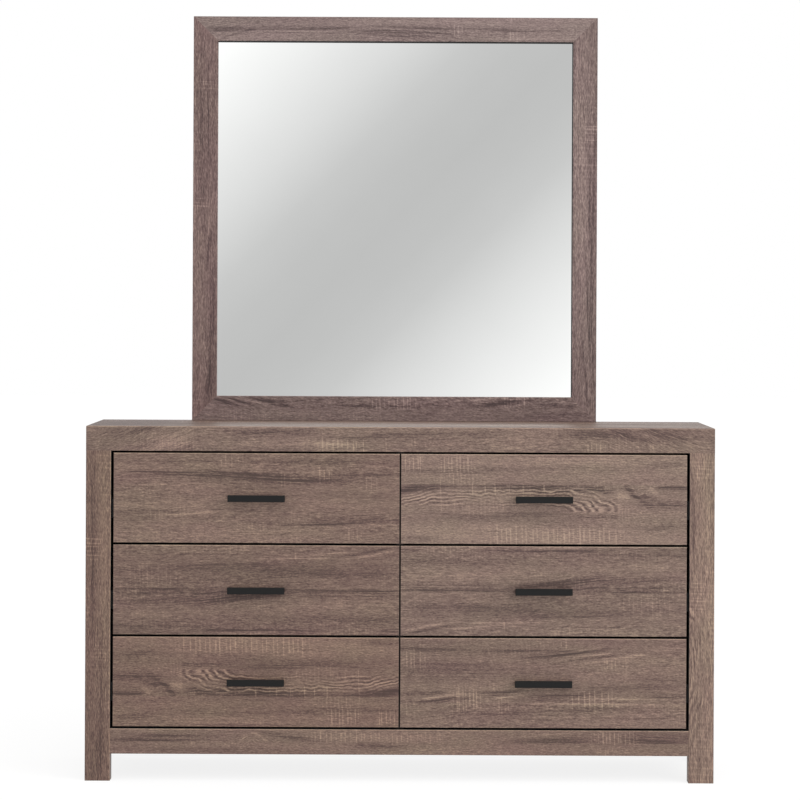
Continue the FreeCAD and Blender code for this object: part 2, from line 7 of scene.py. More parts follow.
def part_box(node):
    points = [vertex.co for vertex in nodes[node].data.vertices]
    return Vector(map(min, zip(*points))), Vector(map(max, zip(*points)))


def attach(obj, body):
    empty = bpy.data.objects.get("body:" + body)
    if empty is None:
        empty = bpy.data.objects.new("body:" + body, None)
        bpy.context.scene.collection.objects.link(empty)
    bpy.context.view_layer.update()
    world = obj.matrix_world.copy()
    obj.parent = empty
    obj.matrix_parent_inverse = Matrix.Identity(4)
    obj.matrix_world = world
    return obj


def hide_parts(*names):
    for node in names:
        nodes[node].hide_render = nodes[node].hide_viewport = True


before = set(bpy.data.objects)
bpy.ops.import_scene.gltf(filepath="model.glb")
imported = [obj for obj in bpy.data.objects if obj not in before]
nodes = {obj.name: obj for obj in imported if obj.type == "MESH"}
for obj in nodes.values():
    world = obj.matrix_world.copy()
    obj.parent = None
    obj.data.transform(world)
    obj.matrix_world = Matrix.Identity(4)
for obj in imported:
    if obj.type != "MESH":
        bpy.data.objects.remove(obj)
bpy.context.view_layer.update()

scene = bpy.context.scene
scene.view_settings.view_transform = "Standard"
print("frame loaded:", len(nodes), "CAD nodes")


# small helpers for node trees

def paint(red, green, blue):
    # screen colour, 0 to 255, as the linear colour that a socket takes
    def toLinear(level):
        level /= 255.0
        return level / 12.92 if level <= 0.04045 else ((level + 0.055) / 1.055) ** 2.4
    return (toLinear(red), toLinear(green), toLinear(blue), 1.0)


def feed(tree, socket, value):
    # a socket takes a link or a plain value
    if isinstance(value, bpy.types.NodeSocket):
        tree.links.new(value, socket)
    else:
        socket.default_value = value


def addNode(tree, kind, inputs=None, **settings):
    # inputs: what goes into the node, by the name or number of the socket
    node = tree.nodes.new(kind)
    for name, value in settings.items():
        setattr(node, name, value)
    for key, value in (inputs or {}).items():
        feed(tree, node.inputs[key], value)
    return node


def calc(tree, operation, *values, clamp=False):
    inputs = dict(enumerate(values))
    return addNode(tree, "ShaderNodeMath", inputs, operation=operation, use_clamp=clamp).outputs[0]


def plus(tree, first, *others):
    for value in others:
        first = calc(tree, "ADD", first, value)
    return first


def times(tree, first, *others):
    for value in others:
        first = calc(tree, "MULTIPLY", first, value)
    return first


def minus(tree, first, second):
    return calc(tree, "SUBTRACT", first, second)


def over(tree, first, second):
    return calc(tree, "DIVIDE", first, second)


def timesPlus(tree, first, second, added):
    return calc(tree, "MULTIPLY_ADD", first, second, added)


def magnitude(tree, value):
    return calc(tree, "ABSOLUTE", value)


def above(tree, value, limit):
    return calc(tree, "GREATER_THAN", value, limit)


def below(tree, value, limit):
    return calc(tree, "LESS_THAN", value, limit)


def vectorOf(tree, x, y, z):
    return addNode(tree, "ShaderNodeCombineXYZ", {0: x, 1: y, 2: z}).outputs[0]


def split(tree, vector):
    return addNode(tree, "ShaderNodeSeparateXYZ", {0: vector}).outputs


def stretch(tree, along, across, depth, perAlong, perAcross):
    # a point whose axes are scaled to the length and width of the marks
    return vectorOf(tree, times(tree, along, perAlong), times(tree, across, perAcross), depth)


def cloud(tree, vector, scale=1.0, detail=2.0, rough=0.5):
    inputs = {"Vector": vector, "Scale": scale, "Detail": detail, "Roughness": rough}
    return addNode(tree, "ShaderNodeTexNoise", inputs, noise_dimensions="3D").outputs["Fac"]


def fade(tree, value, low, high, newLow=0.0, newHigh=1.0):
    inputs = dict(enumerate((value, low, high, newLow, newHigh)))
    return addNode(tree, "ShaderNodeMapRange", inputs, interpolation_type="SMOOTHSTEP").outputs[0]


def swing(tree, value, amount):
    # a noise of middle 0.5, brought about zero
    return timesPlus(tree, value, amount, -0.5 * amount)


def hump(tree, value, half):
    # 1 at zero, falling off smoothly either side
    share = over(tree, value, half)
    return calc(tree, "EXPONENT", times(tree, share, share, -1.0))


def ramp(tree, value, stops):
    node = addNode(tree, "ShaderNodeValToRGB", {0: value})
    while len(node.color_ramp.elements) < len(stops):
        node.color_ramp.elements.new(0.5)
    for element, (place, colour) in zip(node.color_ramp.elements, stops):
        element.position = place
        element.color = colour
    return node.outputs[0]


def blendColour(tree, share, first, second):
    return addNode(tree, "ShaderNodeMix", {0: share, 6: first, 7: second}, data_type="RGBA").outputs[2]


def newFinish(name, kind="ShaderNodeBsdfPrincipled"):
    material = bpy.data.materials.new(name)
    material.use_nodes = True
    tree = material.node_tree
    tree.nodes.clear()
    shader = addNode(tree, kind)
    addNode(tree, "ShaderNodeOutputMaterial", {0: shader.outputs[0]})
    return material, tree, shader


def finishShader(tree, shader, colour, rough, height=None, depth=0.0, specular=0.5, metal=0.0):
    feed(tree, shader.inputs["Base Color"], colour)
    feed(tree, shader.inputs["Roughness"], rough)
    shader.inputs["Specular IOR Level"].default_value = specular
    shader.inputs["Metallic"].default_value = metal
    if height is not None:
        bump = addNode(tree, "ShaderNodeBump", {"Distance": depth, "Height": height})
        feed(tree, shader.inputs["Normal"], bump.outputs[0])


def newGroup(name, inputs, outputs):
    tree = bpy.data.node_groups.new(name, "ShaderNodeTree")
    for word in inputs:
        tree.interface.new_socket(word, in_out="INPUT", socket_type="NodeSocketFloat")
    for word in outputs:
        tree.interface.new_socket(word, in_out="OUTPUT", socket_type="NodeSocketFloat")
    return tree, addNode(tree, "NodeGroupInput").outputs, addNode(tree, "NodeGroupOutput").inputs


def useGroup(tree, group, **values):
    return addNode(tree, "ShaderNodeGroup", values, node_tree=group).outputs


# the printed oak: lengths in metres, shares as parts of the ramp from dark to light
# scales: how often a soft noise turns in a metre, along and across the grain
oakPrint = {
    "wander": 0.05, "wanderScale": (1.5, 6.0), "ripple": 0.005, "rippleScale": (6.0, 18.0),
    "bandPitch": 0.040, "bandLength": 0.90, "bandShare": 0.31,
    "linePitch": 0.0042, "lineLength": 0.45, "lineShare": 0.26,
    "fibrePitch": 0.0015, "fibreLength": 0.017, "fibreShare": 1.14,
    "fleckPitch": 0.0018, "fleckLength": 0.0054, "fleckSlant": 0.5, "fleckShare": 0.80,
    "breakPitch": 0.0030, "breakLength": 0.20, "figureShare": 1.15, "hueSwing": 0.045,
    "hueScale": (5.0, 16.0), "uprightDraw": 0.68, "plankStep": (1.37, 0.713, 2.9),
}
sawShape = {"pitch": 0.0092, "width": 0.0014, "share": 0.40, "faint": 0.35, "lean": 0.03, "sway": 0.55,
            "heights": (0.6, 0.8), "weights": (0.5, 0.5), "combStep": 517.0,
            "patchScale": (6.0, 20.0), "everywhere": 1000.0}
ringShape = {"fallStart": 0.25, "closing": 7.0, "innerSoft": 0.008, "outerSoft": 0.010}


def makeStreakGroup():
    # a soft mark of given half length and half width, tilted against the grain
    tree, given, result = newGroup(
        "grainStreak", ("Along", "Across", "Waver", "U", "V", "Length", "Width", "Tilt"), ("Mask",))
    du = minus(tree, given["Along"], given["U"])
    dv = minus(tree, given["Across"], given["V"])
    dv = minus(tree, dv, times(tree, du, given["Tilt"]))
    dv = timesPlus(tree, given["Waver"], given["Width"], dv)
    far = calc(tree, "POWER", magnitude(tree, over(tree, du, given["Length"])), 3.0)
    end = calc(tree, "EXPONENT", times(tree, far, -1.0))
    feed(tree, result["Mask"], times(tree, end, hump(tree, dv, given["Width"])))
    return tree


def makeRingGroup():
    # growth rings that run along the grain and turn round a centre, as in flat-sawn oak
    # Tail: how far the rings stay round behind the centre. Droop: how fast they fall away there
    tree, given, result = newGroup(
        "grainRings",
        ("Along", "Across", "Waver", "U", "V", "Aspect", "Inner", "Outer", "Pitch", "Tail", "Droop",
         "Strength"),
        ("Wave",))
    du = minus(tree, given["Along"], given["U"])
    behind = calc(tree, "MINIMUM", plus(tree, du, ringShape["fallStart"]), 0.0)
    fall = times(tree, behind, behind, given["Droop"])
    dv = plus(tree, minus(tree, given["Across"], given["V"]), fall)
    ahead = calc(tree, "MAXIMUM", du, times(tree, given["Tail"], -1.0))
    ahead = over(tree, ahead, given["Aspect"])
    # the rings close up tightly below the centre
    dv = calc(tree, "MAXIMUM", dv, times(tree, dv, -ringShape["closing"]))
    radius = calc(tree, "SQRT", plus(tree, times(tree, ahead, ahead), times(tree, dv, dv)))
    radius = plus(tree, radius, given["Waver"])
    wave = calc(tree, "SINE", times(tree, over(tree, radius, given["Pitch"]), 2 * math.pi))
    inside = fade(tree, minus(tree, radius, given["Inner"]), 0.0, ringShape["innerSoft"])
    outside = fade(tree, minus(tree, given["Outer"], radius), 0.0, ringShape["outerSoft"])
    feed(tree, result["Wave"], times(tree, wave, inside, outside, given["Strength"]))
    return tree


def makeSawGroup():
    # a comb of light saw marks, square to the grain, each of its own height and strength
    tree, given, result = newGroup(
        "sawMarks", ("Along", "Across", "U", "V", "Length", "Height", "Pitch"), ("Mask",))
    dv = minus(tree, given["Across"], given["V"])
    du = minus(tree, given["Along"], given["U"])
    du = timesPlus(tree, dv, sawShape["lean"], du)
    tooth = calc(tree, "ROUND", over(tree, du, given["Pitch"]))
    # the chances of a tooth come from its number and its comb's place
    number = timesPlus(tree, given["U"], sawShape["combStep"], tooth)
    chance = addNode(tree, "ShaderNodeTexWhiteNoise", {"W": number}, noise_dimensions="1D")
    first, second, third = split(tree, chance.outputs["Color"])
    shift = times(tree, swing(tree, first, sawShape["sway"]), given["Pitch"])
    gap = minus(tree, times(tree, tooth, given["Pitch"]), du)
    line = hump(tree, plus(tree, gap, shift), sawShape["width"])
    rise = over(tree, magnitude(tree, dv), given["Height"])
    reach = timesPlus(tree, second, *sawShape["heights"])
    tall = minus(tree, 1.0, fade(tree, minus(tree, rise, reach), -0.6, 0.2))
    long = minus(tree, 1.0, fade(tree, over(tree, magnitude(tree, du), given["Length"]), 0.75, 1.1))
    weight = timesPlus(tree, third, *sawShape["weights"])
    feed(tree, result["Mask"], times(tree, line, tall, long, weight))
    return tree


def makeOakGroup(sawGroup):
    tree, given, result = newGroup(
        "oakPrint", ("Along", "Across", "Plank", "Tone", "Saw", "Bend"), ("Tone", "Height"))
    # each plank is cut from another part of the grain
    perAlong, perAcross, perDepth = oakPrint["plankStep"]
    along = timesPlus(tree, given["Plank"], perAlong, given["Along"])
    across = timesPlus(tree, given["Plank"], perAcross, given["Across"])
    depth = times(tree, given["Plank"], perDepth)

    def soft(scale):
        return cloud(tree, stretch(tree, along, across, depth, *scale), detail=1.0)

    wander = swing(tree, soft(oakPrint["wanderScale"]), oakPrint["wander"])
    ripple = swing(tree, soft(oakPrint["rippleScale"]), oakPrint["ripple"])
    grain = plus(tree, across, wander, ripple, given["Bend"])

    def marks(word, detail, rough=0.6, start=along):
        length, pitch = oakPrint[word + "Length"], oakPrint[word + "Pitch"]
        return cloud(tree, stretch(tree, start, grain, depth, 1 / length, 1 / pitch), detail=detail,
                     rough=rough)

    bands = marks("band", 2.0, 0.55)
    lines = marks("line", 3.0)
    breaks = marks("break", 1.0)
    fibres = marks("fibre", 2.0)
    # short flecks that lie across the fibres at a slant
    slant = timesPlus(tree, across, oakPrint["fleckSlant"], along)
    flecks = marks("fleck", 1.0, 0.5, slant)
    # faint saw marks in patches all over
    wide = sawShape["everywhere"]
    comb = useGroup(tree, sawGroup, Along=along, Across=across, U=0.0, V=0.0, Length=wide, Height=wide,
                    Pitch=sawShape["pitch"])["Mask"]
    patch = fade(tree, soft(sawShape["patchScale"]), 0.54, 0.70, 0.0, sawShape["faint"])
    saw = timesPlus(tree, comb, patch, given["Saw"])
    saw = times(tree, saw, fade(tree, fibres, 0.3, 0.7, 0.45, 1.35))
    # a streak is a bundle of thin lines
    share = oakPrint["figureShare"]
    bundle = times(tree, given["Tone"], fade(tree, breaks, 0.25, 0.75, 0.1 * share, 1.9 * share))
    tone = plus(
        tree,
        swing(tree, bands, oakPrint["bandShare"]),
        swing(tree, lines, oakPrint["lineShare"]),
        swing(tree, fibres, oakPrint["fibreShare"]),
        swing(tree, flecks, oakPrint["fleckShare"]),
        times(tree, saw, sawShape["share"]),
        bundle,
        0.5,
    )
    feed(tree, result["Tone"], tone)
    feed(tree, result["Height"], plus(tree, times(tree, fibres, 0.6), times(tree, lines, 0.4), saw))
    return tree


streakGroup = makeStreakGroup()
ringGroup = makeRingGroup()
sawGroup = makeSawGroup()
oakGroup = makeOakGroup(sawGroup)


def stopsOf(*colours):
    # from the darkest grain to the lightest
    return list(zip((0.0, 0.28, 0.5, 0.74, 1.0), [paint(*colour) for colour in colours]))


oakStops = stopsOf((70, 53, 48), (98, 77, 70), (122, 101, 90), (148, 124, 109), (175, 149, 130))
mirrorStops = stopsOf((70, 54, 53), (98, 78, 76), (123, 103, 98), (148, 126, 120), (174, 151, 142))

# figure of each print, from the middle of its piece, along and across the grain
# lengths are in millimetres; tilts, rises and strengths are in hundredths
# seams: across
# streaks: along, across, half length, half width, tilt, strength and, if it ends at a seam, its plank
# rings: along, across, aspect, inner, outer, pitch, tail, droop, strength
# swirls: along, across, half length, half width, lift, stir
# slopes: along, across, half length, half width, rise of the grain
# saws: along, across, half length, half height, pitch, strength
prints = {
    "flame": {
        "seams": [35.4],
        "streaks": [
            (-240, 66, 140, 7, 2, -18), (60, 72, 200, 6, 0, -12), (300, 86, 60, 8, 3, -12),
            (0, 104, 120, 3, 0, -16), (-290, 28, 70, 9, 12, -26, 0), (-130, 31, 140, 6, 0, -18, 0),
            (-330, 26, 30, 10, 25, -26, 0), (30, 32, 140, 7, -2, -22, 0), (225, 15, 34, 8, -80, -36, 0),
            (310, 30, 45, 10, 0, -40, 0), (290, -10, 70, 8, 0, -24), (-20, -40, 120, 10, 0, -20),
            (130, -41, 60, 5, 0, -20), (-220, -40, 100, 8, -10, -12), (290, -66, 50, 8, 10, -14),
            (-310, -98, 50, 8, 0, -16), (20, -80, 300, 18, 0, 8), (0, 94, 340, 12, 0, 6),
            (185, 12, 22, 12, 0, 14), (264, 26, 10, 8, -60, 22), (-270, 8, 80, 10, 10, 8),
            (135, 24, 40, 8, -22, -24, 0), (255, 10, 30, 6, -60, -20, 0),
        ],
        "rings": [(35, -30, 2.5, 10, 66, 8.2, 0, 1.3, 19)],
        "swirls": [(215, 12, 50, 20, -10, 12), (135, 0, 50, 30, 0, 12)],
        "saws": [
            (-317, 85, 27, 18, 9.5, 100), (-212, 83, 44, 22, 9.2, 110), (-200, 50, 50, 14, 9.2, 55),
            (-247, 5, 4, 32, 30, 100), (-85, 24, 105, 13, 29, 95), (35, -88, 170, 22, 12.5, 100),
        ],
    },
    "quiet": {
        "seams": [-4],
        "streaks": [
            (-240, 1, 160, 5.5, 0, -32, 1), (-260, 14, 120, 3, -1, -22, 1), (-200, 9.5, 120, 2, -1, 14),
            (0, 14, 80, 9, 10, -26), (50, 25, 80, 6, 12, -20), (80, 18, 70, 5, 14, -20),
            (110, 9, 60, 4, 12, -20), (50, 18, 70, 2, 14, 16), (220, 26, 140, 10, 0, -12),
            (200, 8, 130, 3, 2, -16), (220, -1, 120, 4, 0, -20, 1), (-20, 98, 140, 4, 0, -24),
            (20, 104, 100, 2, 1, 14), (-330, 98, 30, 4, 0, -14), (240, 88, 120, 3, 0, -14),
            (-220, 70, 120, 12, 0, -8), (-200, 36, 150, 10, 0, 8), (-220, -40, 140, 8, 0, -12),
            (0, -55, 240, 16, 0, -8), (-100, -78, 100, 4, 2, 16), (-280, -86, 60, 3.5, 18, 18),
            (-270, -93, 60, 3, 18, -24), (-180, -90, 50, 3, 10, 14), (200, -86, 140, 2, 0, -14),
            (220, -95, 120, 2, 0, -14),
        ],
        "swirls": [(20, -50, 100, 16, 0, 8), (50, 16, 100, 12, 0, 2)],
        "slopes": [(40, 10, 90, 40, 8), (-270, -96, 60, 30, 10)],
        "saws": [(250, -34, 70, 30, 11, 50), (-94, -84, 6, 18, 10, 80), (300, 15, 40, 16, 10, 40)],
    },
    "banded": {
        "seams": [-58],
        "streaks": [
            (-200, 62, 160, 3.5, -1, -21), (-170, 55, 200, 3, -1.2, -20), (-20, 55, 160, 8, -5, -21),
            (30, 46, 140, 5, -6, -20), (-20, 40, 100, 4, -5, -15), (140, 46, 120, 6, -3, -16),
            (20, 51, 120, 2, -6, 15), (-280, 58.5, 70, 2, -1, 13), (240, 56, 100, 5, 3, -15),
            (-270, -34, 90, 4.5, 0, -25), (-300, -52, 50, 3, 3, -16), (-130, -36, 100, 4, 7, 16),
            (-60, -30, 60, 4, -2, -15), (250, -57, 130, 6, 5, -21), (250, -44, 110, 6, 8, -16),
            (120, -63, 100, 3, 0, -16), (240, -66, 100, 4, 3, 11), (100, 88, 240, 8, 0, -10),
            (-240, 88, 90, 8, 0, -8), (-100, -84, 240, 14, 0, 8), (-180, 24, 150, 12, 0, 7),
            (50, 20, 120, 10, 0, 5),
        ],
        "swirls": [(155, 4, 50, 22, 0, 14), (-100, -34, 100, 14, 0, 4)],
        "slopes": [(-120, -42, 100, 30, 6), (0, 60, 140, 40, -6), (260, -58, 100, 32, 7)],
        "saws": [
            (70, 45, 14, 18, 11, 80), (165, 55, 18, 16, 10, 90), (235, -88, 20, 14, 11, 80),
            (280, 35, 18, 14, 12, 60), (-60, 90, 30, 16, 12, 70), (-10, -68, 40, 12, 9, 50),
        ],
    },
    "crossed": {
        "seams": [-48],
        "streaks": [
            (-270, 81, 80, 4, -2, -32), (-50, 78, 120, 3, 0, -20), (20, 68, 70, 4, 12, -28),
            (80, 72, 80, 3, 14, -26), (110, 60, 80, 3, 13, -20), (60, 75, 70, 2, 14, 22),
            (100, 65, 70, 2, 14, 20), (220, 68, 100, 4, 16, 18), (-220, 20, 140, 20, 0, -10),
            (-240, 44, 100, 10, 0, -10), (-290, -26, 50, 5, 0, -24), (-230, -34, 80, 4, 12, 20),
            (-250, -45, 90, 4, 3, -30, 1), (-140, -24, 60, 4, 6, -22), (-100, -27, 35, 4, 20, -38),
            (-100, -36, 50, 3, 12, 20), (50, -30, 80, 6, 6, -26), (180, -10, 140, 10, 3, -14),
            (280, 8, 70, 10, 0, -12), (300, -30, 50, 6, 0, -18), (200, -37, 140, 2.5, 0, 20),
            (100, -50, 140, 2, 0, 14), (140, -43, 140, 2, 0, -18), (200, -60, 140, 2, 0, -16),
            (80, -66, 200, 3, 0, -14), (220, -84, 120, 2, 0, -14), (-120, -76, 100, 6, 0, -12),
        ],
        "swirls": [(-200, -45, 50, 20, 6, 6)],
        "slopes": [(70, 60, 90, 42, 9), (-160, -46, 90, 36, 8)],
        "saws": [
            (-185, -40, 37, 30, 8.5, 110), (-100, -55, 20, 18, 9, 60), (115, -40, 60, 22, 14, 110),
            (-310, 55, 32, 24, 12, 90), (175, 46, 30, 16, 9, 60), (45, 95, 14, 12, 12, 80),
            (-320, -65, 20, 20, 10, 50),
        ],
    },
    "topBoard": {
        "seams": [130, 245, 360],
        "streaks": [
            (-660, 16, 70, 10, 15, -18), (-580, -4, 50, 12, 30, 8), (-560, -16, 50, 8, 30, 12),
            (-620, -18, 50, 6, 30, -14), (-320, 18, 120, 8, -3, -24), (-300, -12, 160, 10, 0, 8),
            (-160, -18, 70, 10, 0, 12), (-50, 8, 100, 6, 5, -14), (100, 16, 120, 6, 0, -12),
            (240, -4, 140, 16, 0, 9), (470, 16, 70, 10, 0, -18), (560, 6, 50, 8, -25, -18),
            (640, 16, 50, 10, -25, -20), (620, -12, 50, 8, -20, 10), (700, -14, 50, 12, 0, 10),
            (-300, 200, 300, 12, 2, -20), (350, 280, 300, 10, -2, -22), (100, 100, 400, 16, 0, -14),
            # the last six streaks are painted light: they darken the left end of the upper face and lighten
            # it towards the right
            (-700, 100, 170, 36, 0, -26), (-720, 190, 200, 40, 0, -30), (-700, 280, 180, 40, 0, -28),
            (-720, 370, 170, 36, 0, -26), (250, 140, 460, 50, 0, 12), (250, 330, 460, 50, 0, 12),
        ],
        "swirls": [(-620, 0, 120, 30, 0, 8), (580, 4, 120, 30, 0, 8)],
        "slopes": [(-620, 0, 120, 300, 35), (620, 0, 120, 300, -30)],
        "saws": [
            (-140, -16, 60, 15, 12, 100), (-30, -12, 20, 16, 22, 90), (38, -10, 12, 18, 14, 90),
            (475, -20, 40, 10, 12, 70), (300, 180, 100, 40, 11, 80), (-450, 300, 120, 40, 11, 80),
        ],
    },
    "lowRail": {
        "seams": [-1],
        "streaks": [
            (-600, 3, 120, 6, 0, -23, 1), (-550, 14, 90, 5, -2, -18), (-620, 22, 50, 4, 0, 9),
            (-270, 12, 70, 6, -15, -21), (-340, 10, 18, 4, -50, 19), (-368, 10, 18, 4, 50, 18),
            (-50, -12, 60, 8, 0, -16), (0, 12, 200, 10, 0, 5), (360, 10, 100, 7, 6, -23, 1),
            (340, 17, 80, 3, 8, 12), (400, 3, 80, 4, 0, -18, 1), (620, 10, 80, 14, 0, -26, 1),
            (300, -18, 400, 10, 0, 5), (-480, -20, 120, 6, 0, -9),
        ],
        "swirls": [(-350, 8, 30, 18, 10, 8)],
        "saws": [(-130, 12, 90, 14, 12, 90), (30, 10, 70, 14, 12, 80), (520, 12, 60, 14, 9.5, 100)],
    },
    "leftPost": {
        "streaks": [
            (200, -12, 200, 5, 0, -16), (-200, 10, 200, 6, 0, -10), (50, 16, 200, 8, 0, 8),
            (-340, 0, 60, 14, 0, -12),
        ],
        "saws": [(166, -14, 34, 18, 10, 80), (-100, 6, 40, 20, 10, 40)],
    },
    "rightPost": {
        "streaks": [(250, -20, 120, 5, 0, -18), (100, 15, 250, 10, 0, 6), (-300, -4, 100, 4, 0, -14)],
        "rings": [(-130, -48, 3.2, 18, 60, 8.4, 1000, 0, 12)],
        "saws": [(50, -10, 40, 20, 9, 70), (360, 0, 30, 24, 10, 60)],
    },
    "archRail": {
        "streaks": [
            (-430, -1, 50, 6, 3, -22), (-420, -13, 45, 2, 29, 14), (-400, -10, 50, 3, 25, -18),
            (-250, 1, 130, 5, 0, -21), (-250, -6, 100, 1.8, 0, 13), (-220, -10, 120, 2, -1, -13),
            (-60, -6, 100, 3, -6, -19), (-30, -13, 100, 3, -6, -18), (-50, -1, 100, 2, -5, -16),
            (-40, -10, 90, 1.8, -6, 11), (60, 3, 90, 3, -3, -19), (60, -8, 100, 3, -3, -18),
            (50, -16, 90, 3, -2, -14), (250, 1, 80, 3, -3, -22), (360, -2, 100, 2, 2, -18),
            (350, -22, 120, 4, 0, 10), (100, 20, 300, 6, 0, 5),
        ],
        "saws": [
            (160, -2, 14, 14, 9, 90), (205, -10, 10, 12, 12, 60), (300, -16, 14, 13, 8, 90),
            (325, -14, 8, 12, 12, 60),
        ],
    },
    "curlRail": {
        "seams": [-3],
        "streaks": [
            (-430, 16, 40, 4, -30, -30, 1), (-390, 16, 40, 4, -30, -26, 1),
            (-310, 16, 50, 6, -25, -36, 1), (-410, 18, 40, 2, -30, 18, 1), (-350, 18, 50, 3, -28, 18, 1),
            (-100, 4, 100, 5, 0, -18, 1), (100, 10, 80, 5, 5, -18, 1), (275, 16, 70, 5, 12, -34, 1),
            (220, 24, 60, 4, 10, 12, 1), (420, 10, 60, 4, -10, -18, 1), (400, -16, 80, 4, 5, -14),
            (-200, -14, 200, 6, 0, 6),
        ],
        "swirls": [(420, 4, 70, 20, 0, 6), (-360, 14, 90, 24, 0, 3)],
        "slopes": [(-380, 14, 50, 40, -20)],
        "saws": [(0, 14, 75, 16, 11, 90), (310, 18, 34, 14, 10, 90)],
    },
    "leftStile": {
        "streaks": [
            (-300, 20, 160, 6, 0, -22), (250, 8, 140, 4, 0, -14), (200, -10, 200, 8, 0, -10),
            (20, 16, 60, 3, 12, 14), (-50, 12, 60, 3, 12, -16), (-420, 10, 60, 5, 10, -16),
        ],
        "saws": [(40, -12, 14, 18, 10, 80), (340, 4, 20, 20, 11, 50)],
    },
    "rightStile": {
        "streaks": [
            (-50, 16, 250, 3, -2, -22), (-250, 10, 150, 3, -5, -22), (-300, 20, 120, 3, -6, -20),
            (100, 24, 200, 3, 1, -18), (100, -14, 300, 10, 0, 6), (-400, 4, 80, 3, -10, -18),
        ],
        "saws": [(220, 16, 24, 15, 9, 70)],
    },
    "endBoard": {
        "seams": [-105, -20, 85],
        "streaks": [
            (100, -150, 250, 10, 2, -22), (-150, -60, 250, 8, -2, -22), (180, 30, 250, 10, 3, -20),
            (-50, 140, 300, 9, -2, -22), (-200, 50, 180, 12, 0, 10), (200, 110, 180, 12, 0, 10),
        ],
        "rings": [(120, -104, 4, 6, 75, 8.5, 0, 0.2, 13)],
        "saws": [(220, 20, 100, 35, 11, 90), (-120, 130, 80, 30, 11, 80), (-200, -140, 100, 30, 11, 80)],
    },
}
printUnits = {
    "streaks": (1000, 1000, 1000, 1000, 100, 100, 1),
    "rings": (1000, 1000, 1, 1000, 1000, 1000, 1000, 1, 100),
    "swirls": (1000, 1000, 1000, 1000, 1000, 1000),
    "slopes": (1000, 1000, 1000, 1000, 100),
    "saws": (1000, 1000, 1000, 1000, 1000, 100),
}


def rowsOf(figure, kind):
    # the rows of one kind of mark, in metres and whole shares
    units = printUnits[kind]
    return [[value / unit for value, unit in zip(row, units)] for row in figure.get(kind, [])]


def figureOf(tree, along, across, figure):
    # the plank, tone, saw and bend values of one print
    def noise(depth, perAlong, perAcross, detail=2.0):
        return cloud(tree, stretch(tree, along, across, depth, perAlong, perAcross), detail=detail)

    waver = swing(tree, noise(0.37, 5.0, 30.0), 2.0)
    shiver = swing(tree, noise(0.71, 24.0, 34.0), 0.019)
    uneven = fade(tree, noise(0.53, 9.0, 60.0, 1.0), 0.3, 0.7, 0.2, 1.6)
    plank, tone, saw, bend = 0.0, 0.0, 0.0, 0.0
    for seam in figure.get("seams", []):
        plank = plus(tree, above(tree, across, seam / 1000), plank)
    for u, v, length, width, lift, stir in rowsOf(figure, "swirls"):
        mask = useGroup(tree, streakGroup, Along=along, Across=across, Waver=0.0, U=u, V=v,
                        Length=length, Width=width, Tilt=0.0)["Mask"]
        turn = swing(tree, noise(u, 24.0, 26.0, 1.0), 2 * stir)
        bend = timesPlus(tree, mask, minus(tree, turn, lift), bend)
    bent = plus(tree, across, bend)
    for u, v, length, width, rise in rowsOf(figure, "slopes"):
        start = minus(tree, along, u - length)
        climb = calc(tree, "MINIMUM", calc(tree, "MAXIMUM", start, 0.0), 2 * length)
        mask = hump(tree, timesPlus(tree, climb, -rise, minus(tree, across, v)), width)
        bend = timesPlus(tree, mask, times(tree, climb, -rise), bend)
    for u, v, length, width, tilt, strength, *held in rowsOf(figure, "streaks"):
        mask = useGroup(tree, streakGroup, Along=along, Across=bent, Waver=waver, U=u, V=v,
                        Length=length, Width=width, Tilt=tilt)["Mask"]
        if held:
            mask = times(tree, mask, calc(tree, "COMPARE", plank, held[0], 0.5))
        tone = timesPlus(tree, mask, strength, tone)
    for u, v, aspect, inner, outer, pitch, tail, droop, strength in rowsOf(figure, "rings"):
        wave = useGroup(tree, ringGroup, Along=along, Across=bent, Waver=shiver, U=u, V=v, Aspect=aspect,
                        Inner=inner, Outer=outer, Pitch=pitch, Tail=tail, Droop=droop,
                        Strength=times(tree, uneven, strength))["Wave"]
        tone = plus(tree, wave, tone)
    for u, v, length, height, pitch, strength in rowsOf(figure, "saws"):
        mask = useGroup(tree, sawGroup, Along=along, Across=across, U=u, V=v, Length=length,
                        Height=height, Pitch=pitch)["Mask"]
        saw = timesPlus(tree, mask, strength, saw)
    return plank, tone, saw, bend


def middleOf(node):
    low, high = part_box(node)
    return (low + high) / 2


def faceOf(node):
    # the middle of the front face
    low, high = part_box(node)
    return Vector(((low.x + high.x) / 2, low.y, (low.z + high.z) / 2))


# edge: the black of the banded and shaded faces in the gaps
oakFinish = {"roughLow": 0.42, "roughHigh": 0.58, "specular": 0.46, "bump": 0.00012,
             "rim": 0.0038, "highlightLift": 0.50, "edge": paint(42, 46, 49)}


